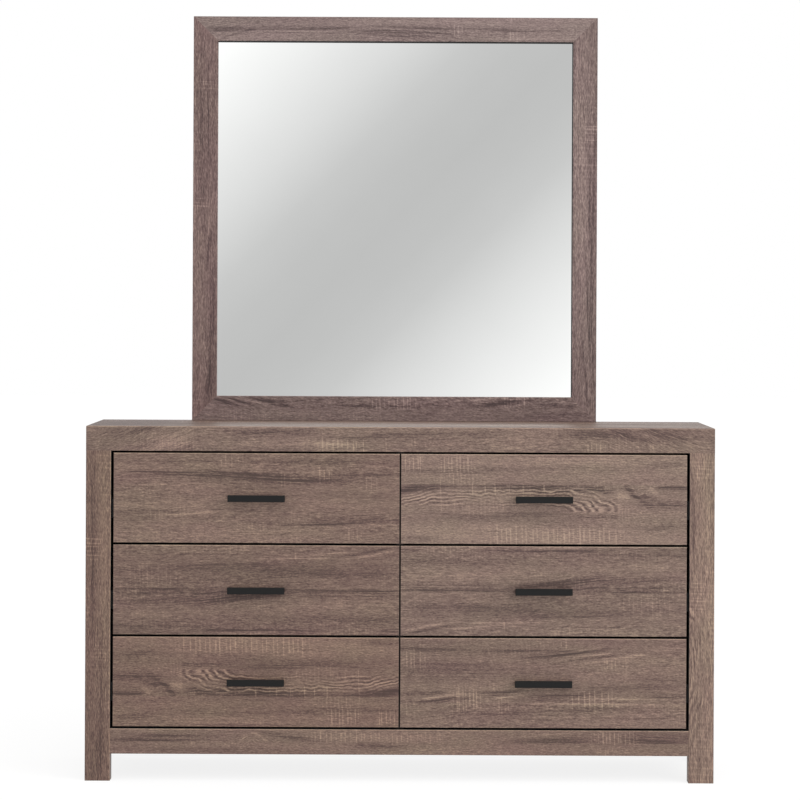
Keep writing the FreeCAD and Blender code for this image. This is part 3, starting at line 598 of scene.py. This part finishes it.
def makeOak(node, along, figure, seed, shade=0.0, rich=1.0, bold=1.0, dark=None, lit=None, turned=False,
            stops=oakStops, about=faceOf):
    # along: the axis of the grain. about: gives the middle of the print
    # shade: lighter or darker than the print's middle, partly the print's own tone and partly painted
    # light, darker on the left pieces and lighter on the right. rich: how warm its colour is
    # bold: how strong the grain is. turned: the same print, turned end for end
    # dark: gives the share of black on faces in the gaps, banding and painted shade. lit: the axis across
    # an arris that catches the light, where a painted highlight lifts the tone
    material, tree, shader = newFinish("oak_" + node)
    source = addNode(tree, "ShaderNodeTexCoord")
    place = addNode(tree, "ShaderNodeMapping", vector_type="TEXTURE",
                    inputs={"Location": about(node), "Vector": source.outputs["Object"]})
    if turned:
        place.inputs["Rotation"].default_value = (0.0, math.pi, 0.0)
    x, y, z = split(tree, place.outputs[0])
    normal = split(tree, source.outputs["Normal"])
    if along == "x":
        u, v = x, plus(tree, y, z)
    elif along == "z":
        u, v = z, plus(tree, x, y)
    else:
        # a folded board: its ends have the grain turned round the corner
        end = above(tree, magnitude(tree, normal[0]), 0.7)
        body = minus(tree, 1.0, end)
        u = plus(tree, times(tree, x, body), times(tree, y, end))
        v = plus(tree, z, times(tree, y, body))
    plank, tone, saw, bend = figureOf(tree, u, v, prints[figure])
    plank = plus(tree, plank, seed)
    # the fibres of upright pieces are longer
    drawn = times(tree, u, oakPrint["uprightDraw"]) if along == "z" else u
    grain = useGroup(tree, oakGroup, Along=drawn, Across=v, Plank=plank, Tone=tone, Saw=saw, Bend=bend)
    level = timesPlus(tree, grain["Tone"], bold, 0.5 - 0.5 * bold + shade)
    # painted highlight: the front face is lighter in a thin line along the arris, where the light catches
    # it
    if lit:
        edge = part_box(node)[1]["XYZ".index(lit)]
        inward = minus(tree, edge, split(tree, source.outputs["Object"])[lit])
        rim = fade(tree, inward, 0.0, oakFinish["rim"], oakFinish["highlightLift"], 0.0)
        level = timesPlus(tree, rim, below(tree, normal[1], -0.7), level)
    drift = cloud(tree, stretch(tree, u, v, plank, *oakPrint["hueScale"]), detail=2.0)
    hue = plus(tree, swing(tree, drift, oakPrint["hueSwing"]), 0.5)
    colour = addNode(tree, "ShaderNodeHueSaturation",
                     {"Hue": hue, "Saturation": rich, "Color": ramp(tree, level, stops)}).outputs[0]
    # black on faces in the gaps: banding on the drawer edges, painted shade on the others
    if dark:
        colour = blendColour(tree, dark(tree, source, normal), colour, oakFinish["edge"])
    rough = fade(tree, grain["Tone"], 0.2, 0.8, oakFinish["roughHigh"], oakFinish["roughLow"])
    finishShader(tree, shader, colour, rough, grain["Height"], oakFinish["bump"], oakFinish["specular"])
    return material


def dress(material, *names):
    # these CAD nodes keep their shapes and get this finish
    for node in names:
        mesh = nodes[node].data
        mesh.materials.clear()
        mesh.materials.append(material)


# faces painted black inside the gaps: banding on the drawer front edges, and painted shade on the post
# linings, the rail and top faces beside the gaps and the lips beside the mirror glass, so the gaps read as
# black lines

# black banding on the edges of the drawer fronts, which also stands in for the shade in the gaps
def bandedAndShadedEdges(tree, source, normal):
    return below(tree, magnitude(tree, normal[1]), 0.75)


def postGapShade(tree, source, normal):
    # painted shade: the faces of the posts that line the drawer openings are black
    x, y, z = split(tree, source.outputs["Object"])
    inward = below(tree, times(tree, normal[0], calc(tree, "SIGN", x)), -0.7)
    return times(tree, inward, above(tree, z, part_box("bottom_rail")[1].z))


# painted shade: the upward faces of the bottom rail, in the gap under the drawers, are black
def shadedUpperFace(tree, source, normal):
    return above(tree, normal[2], 0.6)


# painted shade: the downward faces under the top and along the mirror's top rail beside the glass are black
def shadedUnderFace(tree, source, normal):
    return below(tree, normal[2], -0.6)


def shadedRightLip(tree, source, normal):
    # painted shade: the wall beside the glass that faces away from the light is black
    return below(tree, normal[0], -0.6)


# drawer fronts: figure, seed, shade, rich, turned; the shades are partly painted light, darker on the left
# than on the right
frontPrints = {
    "left_top": ("banded", 3.0, -0.025, 1.05, False),
    "right_top": ("flame", 11.0, 0.035, 0.98, False),
    "left_middle": ("quiet", 5.0, -0.10, 1.06, True),
    "right_middle": ("quiet", 5.0, -0.045, 1.0, False),
    "left_bottom": ("flame", 11.0, -0.06, 1.11, True),
    "right_bottom": ("crossed", 17.0, -0.045, 1.03, False),
}
for place, (figure, seed, shade, rich, turned) in frontPrints.items():
    node = "drawer_front_" + place
    dress(makeOak(node, "x", figure, seed, shade, rich, dark=bandedAndShadedEdges, lit="Z", turned=turned), node)

# case: axis, figure, seed, shade, rich, bold, dark edges, lit arris; the shades are partly painted light,
# the left post darker and the right post lighter
casePrints = {
    "top_panel": ("fold", "topBoard", 23.0, -0.05, 1.0, 1.0, shadedUnderFace, "Z"),
    "bottom_rail": ("x", "lowRail", 29.0, -0.05, 1.05, 1.0, shadedUpperFace, "Z"),
    "left_front_post": ("z", "leftPost", 31.0, -0.12, 1.12, 1.2, postGapShade, "X"),
    "right_front_post": ("z", "rightPost", 37.0, 0.04, 1.03, 1.15, postGapShade, None),
}
endSeeds = {"left_end_panel": 33.0, "right_end_panel": 39.0}
for node, look in casePrints.items():
    dress(makeOak(node, *look), node)
for node, seed in endSeeds.items():
    dress(makeOak(node, "z", "endBoard", seed, about=middleOf), node)

# mirror frame: axis, figure, seed, shade, rich, bold, dark edges; the shades are partly painted light, the
# left stile darker than the right
mirrorPrints = {
    "mirror_top_rail": ("x", "archRail", 41.0, 0.05, 0.93, 1.08, shadedUnderFace),
    "mirror_bottom_rail": ("x", "curlRail", 44.0, -0.03, 1.0, 1.1, None),
    "mirror_left_stile": ("z", "leftStile", 47.0, -0.06, 1.13, 1.2, None),
    "mirror_right_stile": ("z", "rightStile", 53.0, -0.02, 1.0, 1.2, shadedRightLip),
}
for node, look in mirrorPrints.items():
    dress(makeOak(node, *look, stops=mirrorStops), node)
print("oak finished")


# boards inside the case and behind the mirror
boardFinishes = {
    "carcase": {"dark": paint(58, 49, 44), "light": paint(88, 76, 68), "rough": 0.55},
    "drawer": {"dark": paint(92, 81, 73), "light": paint(122, 109, 99), "rough": 0.5},
    "back": {"dark": paint(92, 72, 56), "light": paint(128, 104, 82), "rough": 0.7},
}
boardGrain = {"streakShare": 1.1, "speckScale": 420.0, "speckShare": 0.7, "cloudScale": 5.0,
              "cloudShare": 0.5, "roughSwing": 0.08, "specular": 0.35, "bump": 0.00008}


def makeBoard(name, spec, perAxis):
    # perAxis: how often the streaks turn in a metre, along x, y and z
    material, tree, shader = newFinish(name)
    place = addNode(tree, "ShaderNodeTexCoord").outputs["Object"]
    point = vectorOf(tree, *[times(tree, axis, scale) for axis, scale in zip(split(tree, place), perAxis)])
    streaks = cloud(tree, point, detail=3.0, rough=0.6)
    specks = cloud(tree, place, scale=boardGrain["speckScale"])
    clouds = cloud(tree, place, scale=boardGrain["cloudScale"])
    tone = plus(tree, swing(tree, streaks, boardGrain["streakShare"]),
                swing(tree, specks, boardGrain["speckShare"]),
                swing(tree, clouds, boardGrain["cloudShare"]))
    tone = calc(tree, "ADD", tone, 0.5, clamp=True)
    colour = ramp(tree, tone, [(0.0, spec["dark"]), (1.0, spec["light"])])
    rough = fade(tree, tone, 0.0, 1.0, spec["rough"] + boardGrain["roughSwing"],
                 spec["rough"] - boardGrain["roughSwing"])
    finishShader(tree, shader, colour, rough, plus(tree, streaks, specks), boardGrain["bump"],
                 boardGrain["specular"])
    return material


dress(makeBoard("carcaseUpright", boardFinishes["carcase"], (220.0, 220.0, 9.0)),
      "left_inner_panel", "right_inner_panel", "side_spacers", "center_partition",
      "left_mirror_support", "right_mirror_support")
dress(makeBoard("carcaseFlat", boardFinishes["carcase"], (9.0, 220.0, 220.0)),
      "bottom_panel", "top_underboard")
dress(makeBoard("drawerSides", boardFinishes["drawer"], (9.0, 9.0, 240.0)),
      *["drawer_box_" + place for place in frontPrints])
dress(makeBoard("pressedBoard", boardFinishes["back"], (60.0, 60.0, 60.0)),
      "back_panel", "mirror_backing", *["drawer_floor_" + place for place in frontPrints])

# metal and glass
blackFinishes = {
    "powder": {"low": paint(15, 15, 15), "high": paint(27, 26, 26), "rough": 0.50, "specular": 0.20,
               "grain": 1800.0, "depth": 0.00006},
    "rail": {"low": paint(22, 22, 24), "high": paint(40, 40, 43), "rough": 0.34, "specular": 0.40,
             "grain": 900.0, "depth": 0.00002},
}
zincFinish = {"low": paint(150, 152, 156), "high": paint(205, 207, 210), "rolled": (12.0, 1400.0),
              "spangle": 130.0, "roughHigh": 0.46, "roughLow": 0.26, "depth": 0.00002}
glassFinish = {"low": paint(250, 251, 250), "high": paint(253, 254, 253), "haze": 7.0, "roughLow": 0.004,
               "roughHigh": 0.012, "topShadeLine": 0.0032, "rightShadeLine": 0.0018, "line": paint(78, 76, 76)}


def metalTone(tree, fine, fineShare, coarse, coarseShare):
    tone = plus(tree, swing(tree, fine, fineShare), swing(tree, coarse, coarseShare))
    return calc(tree, "ADD", tone, 0.5, clamp=True)


def makeBlack(name, spec):
    material, tree, shader = newFinish(name)
    place = addNode(tree, "ShaderNodeTexCoord").outputs["Object"]
    grainy = cloud(tree, place, scale=spec["grain"])
    cloudy = cloud(tree, place, scale=60.0)
    tone = metalTone(tree, grainy, 0.8, cloudy, 0.9)
    colour = ramp(tree, tone, [(0.0, spec["low"]), (1.0, spec["high"])])
    rough = fade(tree, cloudy, 0.2, 0.8, spec["rough"] - 0.06, spec["rough"] + 0.1)
    finishShader(tree, shader, colour, rough, grainy, spec["depth"], spec["specular"])
    return material


def makeZinc():
    material, tree, shader = newFinish("zincPlate")
    place = addNode(tree, "ShaderNodeTexCoord").outputs["Object"]
    x, y, z = split(tree, place)
    rolled = cloud(tree, stretch(tree, y, z, x, *zincFinish["rolled"]), detail=3.0)
    spangle = cloud(tree, place, scale=zincFinish["spangle"])
    tone = metalTone(tree, rolled, 0.9, spangle, 0.8)
    colour = ramp(tree, tone, [(0.0, zincFinish["low"]), (1.0, zincFinish["high"])])
    rough = fade(tree, tone, 0.0, 1.0, zincFinish["roughHigh"], zincFinish["roughLow"])
    finishShader(tree, shader, colour, rough, rolled, zincFinish["depth"], metal=1.0)
    return material


def makeMirror():
    material, tree, shader = newFinish("silveredGlass")
    place = addNode(tree, "ShaderNodeTexCoord").outputs["Object"]
    haze = cloud(tree, place, scale=glassFinish["haze"], detail=3.0)
    silver = ramp(tree, haze, [(0.0, glassFinish["low"]), (1.0, glassFinish["high"])])
    # painted shade: dark lines on the glass along its top and right edges, where the shaded lips of the
    # frame meet it
    x, y, z = split(tree, place)
    shadedTopLine = above(tree, z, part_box("mirror_top_rail")[0].z - glassFinish["topShadeLine"])
    right = above(tree, x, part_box("mirror_right_stile")[0].x - glassFinish["rightShadeLine"])
    colour = blendColour(tree, calc(tree, "MAXIMUM", shadedTopLine, right), silver, glassFinish["line"])
    rough = fade(tree, haze, 0.3, 0.8, glassFinish["roughLow"], glassFinish["roughHigh"])
    finishShader(tree, shader, colour, rough, metal=1.0)
    return material


zincPlate = makeZinc()
dress(zincPlate, "support_screws")
dress(makeMirror(), "mirror_glass")
dress(makeBlack("powderBlack", blackFinishes["powder"]),
      *["drawer_handle_" + place for place in frontPrints])
dress(makeBlack("railBlack", blackFinishes["rail"]), "fixed_rails_left", "fixed_rails_right",
      *["drawer_runners_" + place for place in frontPrints],
      *["sliding_rails_" + place for place in frontPrints])
print("boards, metal and glass finished")


# fasteners: shapes that Geometry Nodes set on points, each turned to face outwards

def newShapeTree(name, sizes):
    tree = bpy.data.node_groups.new(name, "GeometryNodeTree")
    sockets = [("Points", "Geometry")] + [(word, "Float") for word in sizes]
    for word, kind in sockets + [("Seed", "Int"), ("Finish", "Material")]:
        tree.interface.new_socket(word, in_out="INPUT", socket_type="NodeSocket" + kind)
    tree.interface.new_socket("Geometry", in_out="OUTPUT", socket_type="NodeSocketGeometry")
    return tree, addNode(tree, "NodeGroupInput").outputs, addNode(tree, "NodeGroupOutput").inputs


def moved(tree, shape, lift):
    inputs = {"Geometry": shape, "Translation": vectorOf(tree, 0.0, 0.0, lift)}
    return addNode(tree, "GeometryNodeTransform", inputs).outputs[0]


def cylinderOf(tree, sides, rings, radius, depth):
    inputs = {"Vertices": sides, "Side Segments": rings, "Radius": radius, "Depth": depth}
    return addNode(tree, "GeometryNodeMeshCylinder", inputs, fill_type="TRIANGLE_FAN").outputs["Mesh"]


def cubeOf(tree, x, y, z, counts=(2, 2, 2)):
    inputs = {"Size": vectorOf(tree, x, y, z), 1: counts[0], 2: counts[1], 3: counts[2]}
    return addNode(tree, "GeometryNodeMeshCube", inputs).outputs["Mesh"]


def placedBy(tree, shape, rule):
    # each vertex goes where the rule sends its x, y and z
    position = addNode(tree, "GeometryNodeInputPosition").outputs[0]
    inputs = {"Geometry": shape, "Position": vectorOf(tree, *rule(*split(tree, position)))}
    return addNode(tree, "GeometryNodeSetPosition", inputs).outputs[0]


def domed(tree, shape, height, draw):
    # the rim of a head draws in towards its crown
    def rule(x, y, z):
        rise = plus(tree, over(tree, z, height), 0.5)
        keep = minus(tree, 1.0, times(tree, calc(tree, "POWER", rise, 2.5), draw))
        return times(tree, x, keep), times(tree, y, keep), z
    return placedBy(tree, shape, rule)


def joined(tree, *shapes):
    node = addNode(tree, "GeometryNodeJoinGeometry")
    for shape in shapes:
        feed(tree, node.inputs[0], shape)
    return node.outputs[0]


def enabledOutput(node):
    return next(socket for socket in node.outputs if socket.enabled)


def setOnPoints(tree, given, result, shape, twist):
    # twist: the widest turn that a copy takes about its own axis
    turn = addNode(tree, "GeometryNodeInputNamedAttribute", {"Name": "turn"}, data_type="FLOAT_VECTOR")
    facing = addNode(tree, "FunctionNodeEulerToRotation", {0: enabledOutput(turn)}).outputs[0]
    copies = addNode(tree, "GeometryNodeInstanceOnPoints",
                     {"Points": given["Points"], "Instance": shape, "Rotation": facing}).outputs[0]
    chance = addNode(tree, "FunctionNodeRandomValue", {"Seed": given["Seed"]}, data_type="FLOAT")
    low, high = [s for s in chance.inputs if s.enabled and s.name in ("Min", "Max")]
    low.default_value = 0.0
    high.default_value = twist
    about = vectorOf(tree, 0.0, 0.0, enabledOutput(chance))
    spin = addNode(tree, "FunctionNodeEulerToRotation", {0: about}).outputs[0]
    spun = addNode(tree, "GeometryNodeRotateInstances", {"Instances": copies, "Rotation": spin}).outputs[0]
    real = addNode(tree, "GeometryNodeRealizeInstances", {0: spun}).outputs[0]
    finished = addNode(tree, "GeometryNodeSetMaterial", {"Geometry": real, "Material": given["Finish"]})
    feed(tree, result["Geometry"], finished.outputs[0])


# shares of the head and shank, and the counts of sides and rings
screwShape = {"head": (20, 5), "shank": (10, 6), "draw": 0.34, "arm": 2.0, "slim": 0.42, "lift": 0.42,
              "tip": 0.2, "tipWidth": 0.1}
pinShape = {"head": (10, 2), "pin": (6, 1), "draw": 0.3}
tabShape = {"counts": (9, 3, 2), "narrowFrom": 0.05, "point": 0.15, "bendFrom": -0.1, "bend": 6.25}


def makeScrewTree():
    # a pan head with a cross recess, on a pointed shank
    tree, given, result = newShapeTree(
        "panScrews", ("Head Radius", "Head Height", "Recess", "Shank Radius", "Shank Length"))
    height, recess, length = given["Head Height"], given["Recess"], given["Shank Length"]
    head = cylinderOf(tree, *screwShape["head"], given["Head Radius"], height)
    arm = times(tree, recess, screwShape["arm"])
    slim = times(tree, recess, screwShape["slim"])
    lift = times(tree, height, screwShape["lift"])
    cut = addNode(tree, "GeometryNodeMeshBoolean",
                  {"Mesh 1": domed(tree, head, height, screwShape["draw"])}, operation="DIFFERENCE")
    for x, y in ((arm, slim), (slim, arm)):
        feed(tree, cut.inputs["Mesh 2"], moved(tree, cubeOf(tree, x, y, height), lift))

    def pointed(x, y, z):
        # the end of the shank runs out to its tip
        rise = plus(tree, over(tree, z, length), 0.5)
        keep = fade(tree, rise, 0.0, screwShape["tip"], screwShape["tipWidth"], 1.0)
        return times(tree, x, keep), times(tree, y, keep), z

    shank = placedBy(tree, cylinderOf(tree, *screwShape["shank"], given["Shank Radius"], length), pointed)
    whole = joined(tree, moved(tree, cut.outputs["Mesh"], times(tree, height, 0.5)),
                   moved(tree, shank, times(tree, length, -0.5)))
    setOnPoints(tree, given, result, whole, math.pi / 2)
    return tree


def makePinTree():
    # a small domed nail head on its pin
    tree, given, result = newShapeTree("pins", ("Head Radius", "Head Height", "Pin Radius", "Pin Length"))
    height, length = given["Head Height"], given["Pin Length"]
    head = cylinderOf(tree, *pinShape["head"], given["Head Radius"], height)
    pin = cylinderOf(tree, *pinShape["pin"], given["Pin Radius"], length)
    whole = joined(tree, moved(tree, domed(tree, head, height, pinShape["draw"]), times(tree, height, 0.5)),
                   moved(tree, pin, times(tree, length, -0.5)))
    setOnPoints(tree, given, result, whole, math.pi)
    return tree


def makeTabTree():
    # a sprung steel tab, pointed where it enters the frame and raised at its free end
    tree, given, result = newShapeTree("glazingTabs", ("Length", "Width", "Thickness", "Lift"))
    length, thickness = given["Length"], given["Thickness"]

    def sprung(x, y, z):
        share = over(tree, x, length)
        keep = fade(tree, share, tabShape["narrowFrom"], 0.5, 1.0, tabShape["point"])
        free = calc(tree, "MAXIMUM", minus(tree, tabShape["bendFrom"], share), 0.0)
        rise = times(tree, free, free, given["Lift"], tabShape["bend"])
        return x, times(tree, y, keep), plus(tree, z, rise)

    tab = placedBy(tree, cubeOf(tree, length, given["Width"], thickness, tabShape["counts"]), sprung)
    setOnPoints(tree, given, result, moved(tree, tab, times(tree, thickness, 0.5)), 0.0)
    return tree


screwTree, pinTree, tabTree = makeScrewTree(), makePinTree(), makeTabTree()
fasteners = {
    "pull": {"Head Radius": 0.0042, "Head Height": 0.0024, "Recess": 0.0022, "Shank Radius": 0.0019,
             "Shank Length": 0.016, "Seed": 3},
    "runner": {"Head Radius": 0.0036, "Head Height": 0.0020, "Recess": 0.0019, "Shank Radius": 0.0016,
               "Shank Length": 0.010, "Seed": 5},
    "rail": {"Head Radius": 0.0026, "Head Height": 0.0011, "Recess": 0.0015, "Shank Radius": 0.0014,
             "Shank Length": 0.012, "Seed": 9},
    "support": {"Head Radius": 0.0045, "Head Height": 0.0026, "Recess": 0.0025, "Shank Radius": 0.00225,
                "Shank Length": 0.031, "Seed": 7},
    "pin": {"Head Radius": 0.0024, "Head Height": 0.0007, "Pin Radius": 0.0008, "Pin Length": 0.014,
            "Seed": 1},
    "tab": {"Length": 0.016, "Width": 0.007, "Thickness": 0.0006, "Lift": 0.0012, "Seed": 1},
}


def setFasteners(name, body, tree, kind, places):
    # places: points with the way each one faces and, if it matters, the way it lies
    mesh = bpy.data.meshes.new(name + "Points")
    mesh.from_pydata([tuple(place[0]) for place in places], [], [])
    turns = mesh.attributes.new("turn", "FLOAT_VECTOR", "POINT")
    for item, (point, facing, *lying) in zip(turns.data, places):
        up = Vector(facing)
        side = Vector(lying[0]) if lying else up.orthogonal()
        item.vector = Matrix((side, up.cross(side), up)).transposed().to_euler()[:]
    holder = bpy.data.objects.new(name + "Points", mesh)
    scene.collection.objects.link(holder)
    modifier = holder.modifiers.new("fasteners", "NODES")
    modifier.node_group = tree
    values = dict(fasteners[kind], Finish=zincPlate)
    for socket in tree.interface.items_tree:
        if socket.in_out == "INPUT" and socket.name in values:
            modifier[socket.identifier] = values[socket.name]
    bpy.context.view_layer.update()
    whole = holder.evaluated_get(bpy.context.evaluated_depsgraph_get())
    piece = bpy.data.objects.new(name, bpy.data.meshes.new_from_object(whole))
    piece.data.name = name
    bpy.data.objects.remove(holder)
    scene.collection.objects.link(piece)
    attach(piece, body)
    return piece


# slots: from the front end of the runners. cornerPins: from the foot of the box
drawerSpec = {"railWall": 0.0012, "hatInset": 0.003, "slots": (0.044, 0.175, 0.306), "postInset": 0.005,
              "cornerPins": (0.022, 0.112, 0.138), "cornerInset": 0.006}


def addDrawerFasteners(place):
    body = "drawer_" + place
    boxLow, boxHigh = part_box("drawer_box_" + place)
    runLow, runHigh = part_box("drawer_runners_" + place)
    pullLow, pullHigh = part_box("drawer_handle_" + place)
    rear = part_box("drawer_front_" + place)[1].y
    level = (pullLow.z + pullHigh.z) / 2
    ends = (pullLow.x + drawerSpec["postInset"], pullHigh.x - drawerSpec["postInset"])
    setFasteners("pull_screws_" + place, body, screwTree, "pull",
                 [((x, rear, level), (0, 1, 0)) for x in ends])
    runner, pins, rail = [], [], []
    middle = (runLow.z + runHigh.z) / 2
    for out, wall, hat in ((-1, boxLow.x, runLow.x), (1, boxHigh.x, runHigh.x)):
        panel = hat + out * drawerSpec["hatInset"]
        for along in drawerSpec["slots"]:
            runner.append(((wall + out * drawerSpec["railWall"], runLow.y + along, middle), (out, 0, 0)))
            rail.append(((panel, runLow.y + along, middle), (-out, 0, 0)))
        for rise in drawerSpec["cornerPins"]:
            pins.append(((wall, boxHigh.y - drawerSpec["cornerInset"], boxLow.z + rise), (out, 0, 0)))
    setFasteners("runner_screws_" + place, body, screwTree, "runner", runner)
    setFasteners("corner_pins_" + place, body, pinTree, "pin", pins)
    return rail


backSpec = {"inset": 0.006, "pitch": 0.13, "tabPitch": 0.17, "tabReach": 0.003}


def addSupportScrews():
    # they stand where the plain ones do: points no further apart than a head belong to one level
    low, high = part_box("support_screws")
    radius, height = fasteners["support"]["Head Radius"], fasteners["support"]["Head Height"]
    rows = [[]]
    for z in sorted(v.co.z for v in nodes["support_screws"].data.vertices):
        if rows[-1] and z - rows[-1][-1] > radius * 2:
            rows.append([])
        rows[-1].append(z)
    levels = [round((row[0] + row[-1]) / 2, 4) for row in rows]
    places = [((x, high.y - height, z), (0, 1, 0))
              for x in (low.x + radius, high.x - radius) for z in levels]
    piece = setFasteners("support_screw_set", "case", screwTree, "support", places)
    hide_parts("support_screws")
    return levels


def spread(low, high, pitch):
    # even places from low to high, about a pitch apart
    count = max(1, round((high - low) / pitch))
    return [low + (high - low) * step / count for step in range(count + 1)]


def addBackPins():
    low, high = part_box("back_panel")
    inset = backSpec["inset"]
    left, right, foot, head = low.x + inset, high.x - inset, low.z + inset, high.z - inset
    spots = [(x, z) for x in spread(left, right, backSpec["pitch"]) for z in (foot, head)]
    spots += [(x, z) for z in spread(foot, head, backSpec["pitch"])[1:-1] for x in (left, 0.0, right)]
    supports = [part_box(side + "_mirror_support") for side in ("left", "right")]

    def covered(x, z):
        return any(a.x - inset < x < b.x + inset and z > a.z - inset for a, b in supports)

    places = [((x, high.y, z), (0, 1, 0)) for x, z in spots if not covered(x, z)]
    setFasteners("back_pins", "case", pinTree, "pin", places)


def addGlazingTabs():
    low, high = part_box("mirror_backing")
    reach, pitch = backSpec["tabReach"], backSpec["tabPitch"]
    margin = pitch / 2
    places = []
    for x in spread(low.x + margin, high.x - margin, pitch):
        places += [((x, high.y, high.z - reach), (0, 1, 0), (0, 0, 1)),
                   ((x, high.y, low.z + reach), (0, 1, 0), (0, 0, -1))]
    for z in spread(low.z + margin, high.z - margin, pitch):
        places += [((high.x - reach, high.y, z), (0, 1, 0), (1, 0, 0)),
                   ((low.x + reach, high.y, z), (0, 1, 0), (-1, 0, 0))]
    setFasteners("glazing_tabs", "case", tabTree, "tab", places)


railScrews = []
for place in frontPrints:
    railScrews += addDrawerFasteners(place)
setFasteners("rail_screws", "case", screwTree, "rail", railScrews)
print("support screws at heights", addSupportScrews())
addBackPins()
addGlazingTabs()
print("fasteners set")


# stage: a white floor that keeps a faint shadow, and a card that the mirror shows
stageSpec = {"floorSize": 30.0, "floorMatte": 0.92, "floorShown": 0.25, "floorGlow": 0.84,
             "cardSize": 3.4, "cardPlace": (-0.031, -9.0, 1.651), "cardReach": 2.02,
             "cardStops": ((0.0, 0.535), (0.15, 0.552), (0.30, 0.60), (0.5, 0.74), (0.75, 0.90),
                           (1.0, 1.06))}


def grey(level):
    return (level, level, level, 1.0)


def makePlane(name, size, corners, finish):
    mesh = bpy.data.meshes.new(name)
    mesh.from_pydata([[size * c for c in corner] for corner in corners], [], [(0, 1, 2, 3)])
    mesh.materials.append(finish)
    piece = bpy.data.objects.new(name, mesh)
    scene.collection.objects.link(piece)
    return piece


def shownRays(tree):
    path = addNode(tree, "ShaderNodeLightPath")
    rays = [path.outputs[word] for word in ("Is Camera Ray", "Is Glossy Ray", "Is Transmission Ray")]
    return calc(tree, "MINIMUM", plus(tree, *rays), 1.0)


def makeFloor():
    material, tree, both = newFinish("floorWhite", "ShaderNodeAddShader")
    shown = shownRays(tree)
    full = stageSpec["floorMatte"]
    tone = blendColour(tree, shown, grey(full), grey(full * stageSpec["floorShown"]))
    feed(tree, both.inputs[0], addNode(tree, "ShaderNodeBsdfDiffuse", {"Color": tone}).outputs[0])
    strength = times(tree, shown, stageSpec["floorGlow"])
    glow = addNode(tree, "ShaderNodeEmission", {"Color": grey(1.0), "Strength": strength})
    feed(tree, both.inputs[1], glow.outputs[0])
    makePlane("floor", stageSpec["floorSize"], [(-1, -1, 0), (1, -1, 0), (1, 1, 0), (-1, 1, 0)], material)


def makeCard():
    material, tree, glow = newFinish("cardSheen", "ShaderNodeEmission")
    x, y, z = split(tree, addNode(tree, "ShaderNodeTexCoord").outputs["Object"])
    x = minus(tree, x, stageSpec["cardPlace"][0])
    z = minus(tree, z, stageSpec["cardPlace"][2])
    slope = over(tree, magnitude(tree, minus(tree, z, x)), stageSpec["cardReach"])
    stops = [(place, grey(level)) for place, level in stageSpec["cardStops"]]
    feed(tree, glow.inputs["Color"], ramp(tree, slope, stops))
    corners = [(-1, 0, -1), (1, 0, -1), (1, 0, 1), (-1, 0, 1)]
    card = makePlane("mirrorCard", stageSpec["cardSize"] / 2, corners, material)
    card.data.transform(Matrix.Translation(stageSpec["cardPlace"]))
    card.visible_camera = False
    card.visible_diffuse = False
    card.visible_shadow = False
    card.visible_transmission = False


makeFloor()
makeCard()

# light: an even white room, a wide soft lamp above and in front, and a softbox at the right
lightSpec = {"room": 0.55, "sun": 1.15, "sunSpread": 80.0, "sunFrom": (0.35, -0.75, 0.8),
             "boxPower": 26.0, "boxSize": 1.6, "boxPlace": (2.5, -2.8, 1.7), "boxAim": (0.2, 0.0, 0.7)}


def makeWorld():
    world = bpy.data.worlds.new("studio")
    scene.world = world
    world.use_nodes = True
    tree = world.node_tree
    tree.nodes.clear()
    strength = timesPlus(tree, shownRays(tree), 1.0 - lightSpec["room"], lightSpec["room"])
    back = addNode(tree, "ShaderNodeBackground", {"Color": grey(1.0), "Strength": strength})
    addNode(tree, "ShaderNodeOutputWorld", {0: back.outputs[0]})


def addLamp(name, lamp, facing):
    holder = bpy.data.objects.new(name, lamp)
    holder.rotation_euler = Vector(facing).to_track_quat("Z", "Y").to_euler()
    scene.collection.objects.link(holder)
    return holder


def makeLamps():
    sun = bpy.data.lights.new("softLamp", "SUN")
    sun.energy = lightSpec["sun"]
    sun.angle = math.radians(lightSpec["sunSpread"])
    addLamp("softLamp", sun, lightSpec["sunFrom"])
    box = bpy.data.lights.new("softBox", "AREA")
    box.energy = lightSpec["boxPower"]
    box.size = lightSpec["boxSize"]
    place = Vector(lightSpec["boxPlace"])
    holder = addLamp("softBox", box, place - Vector(lightSpec["boxAim"]))
    holder.location = place
    holder.visible_glossy = False


makeWorld()
makeLamps()

# camera: level, square on, with the frame shifted down
cameraSpec = {"place": (0.0, -7.2766, 1.1505), "lens": 131.5, "sensor": 36.0, "shiftX": -0.0015,
              "shiftY": -0.116, "roll": -0.00462, "farEnd": 100.0}


def makeCamera():
    data = bpy.data.cameras.new("viewer")
    data.lens = cameraSpec["lens"]
    data.sensor_width = cameraSpec["sensor"]
    data.sensor_fit = "HORIZONTAL"
    data.shift_x = cameraSpec["shiftX"]
    data.shift_y = cameraSpec["shiftY"]
    data.clip_end = cameraSpec["farEnd"]
    camera = bpy.data.objects.new("viewer", data)
    camera.location = cameraSpec["place"]
    camera.rotation_euler = (math.pi / 2, cameraSpec["roll"], 0.0)
    scene.collection.objects.link(camera)
    scene.camera = camera


makeCamera()
print("stage, light and camera set")
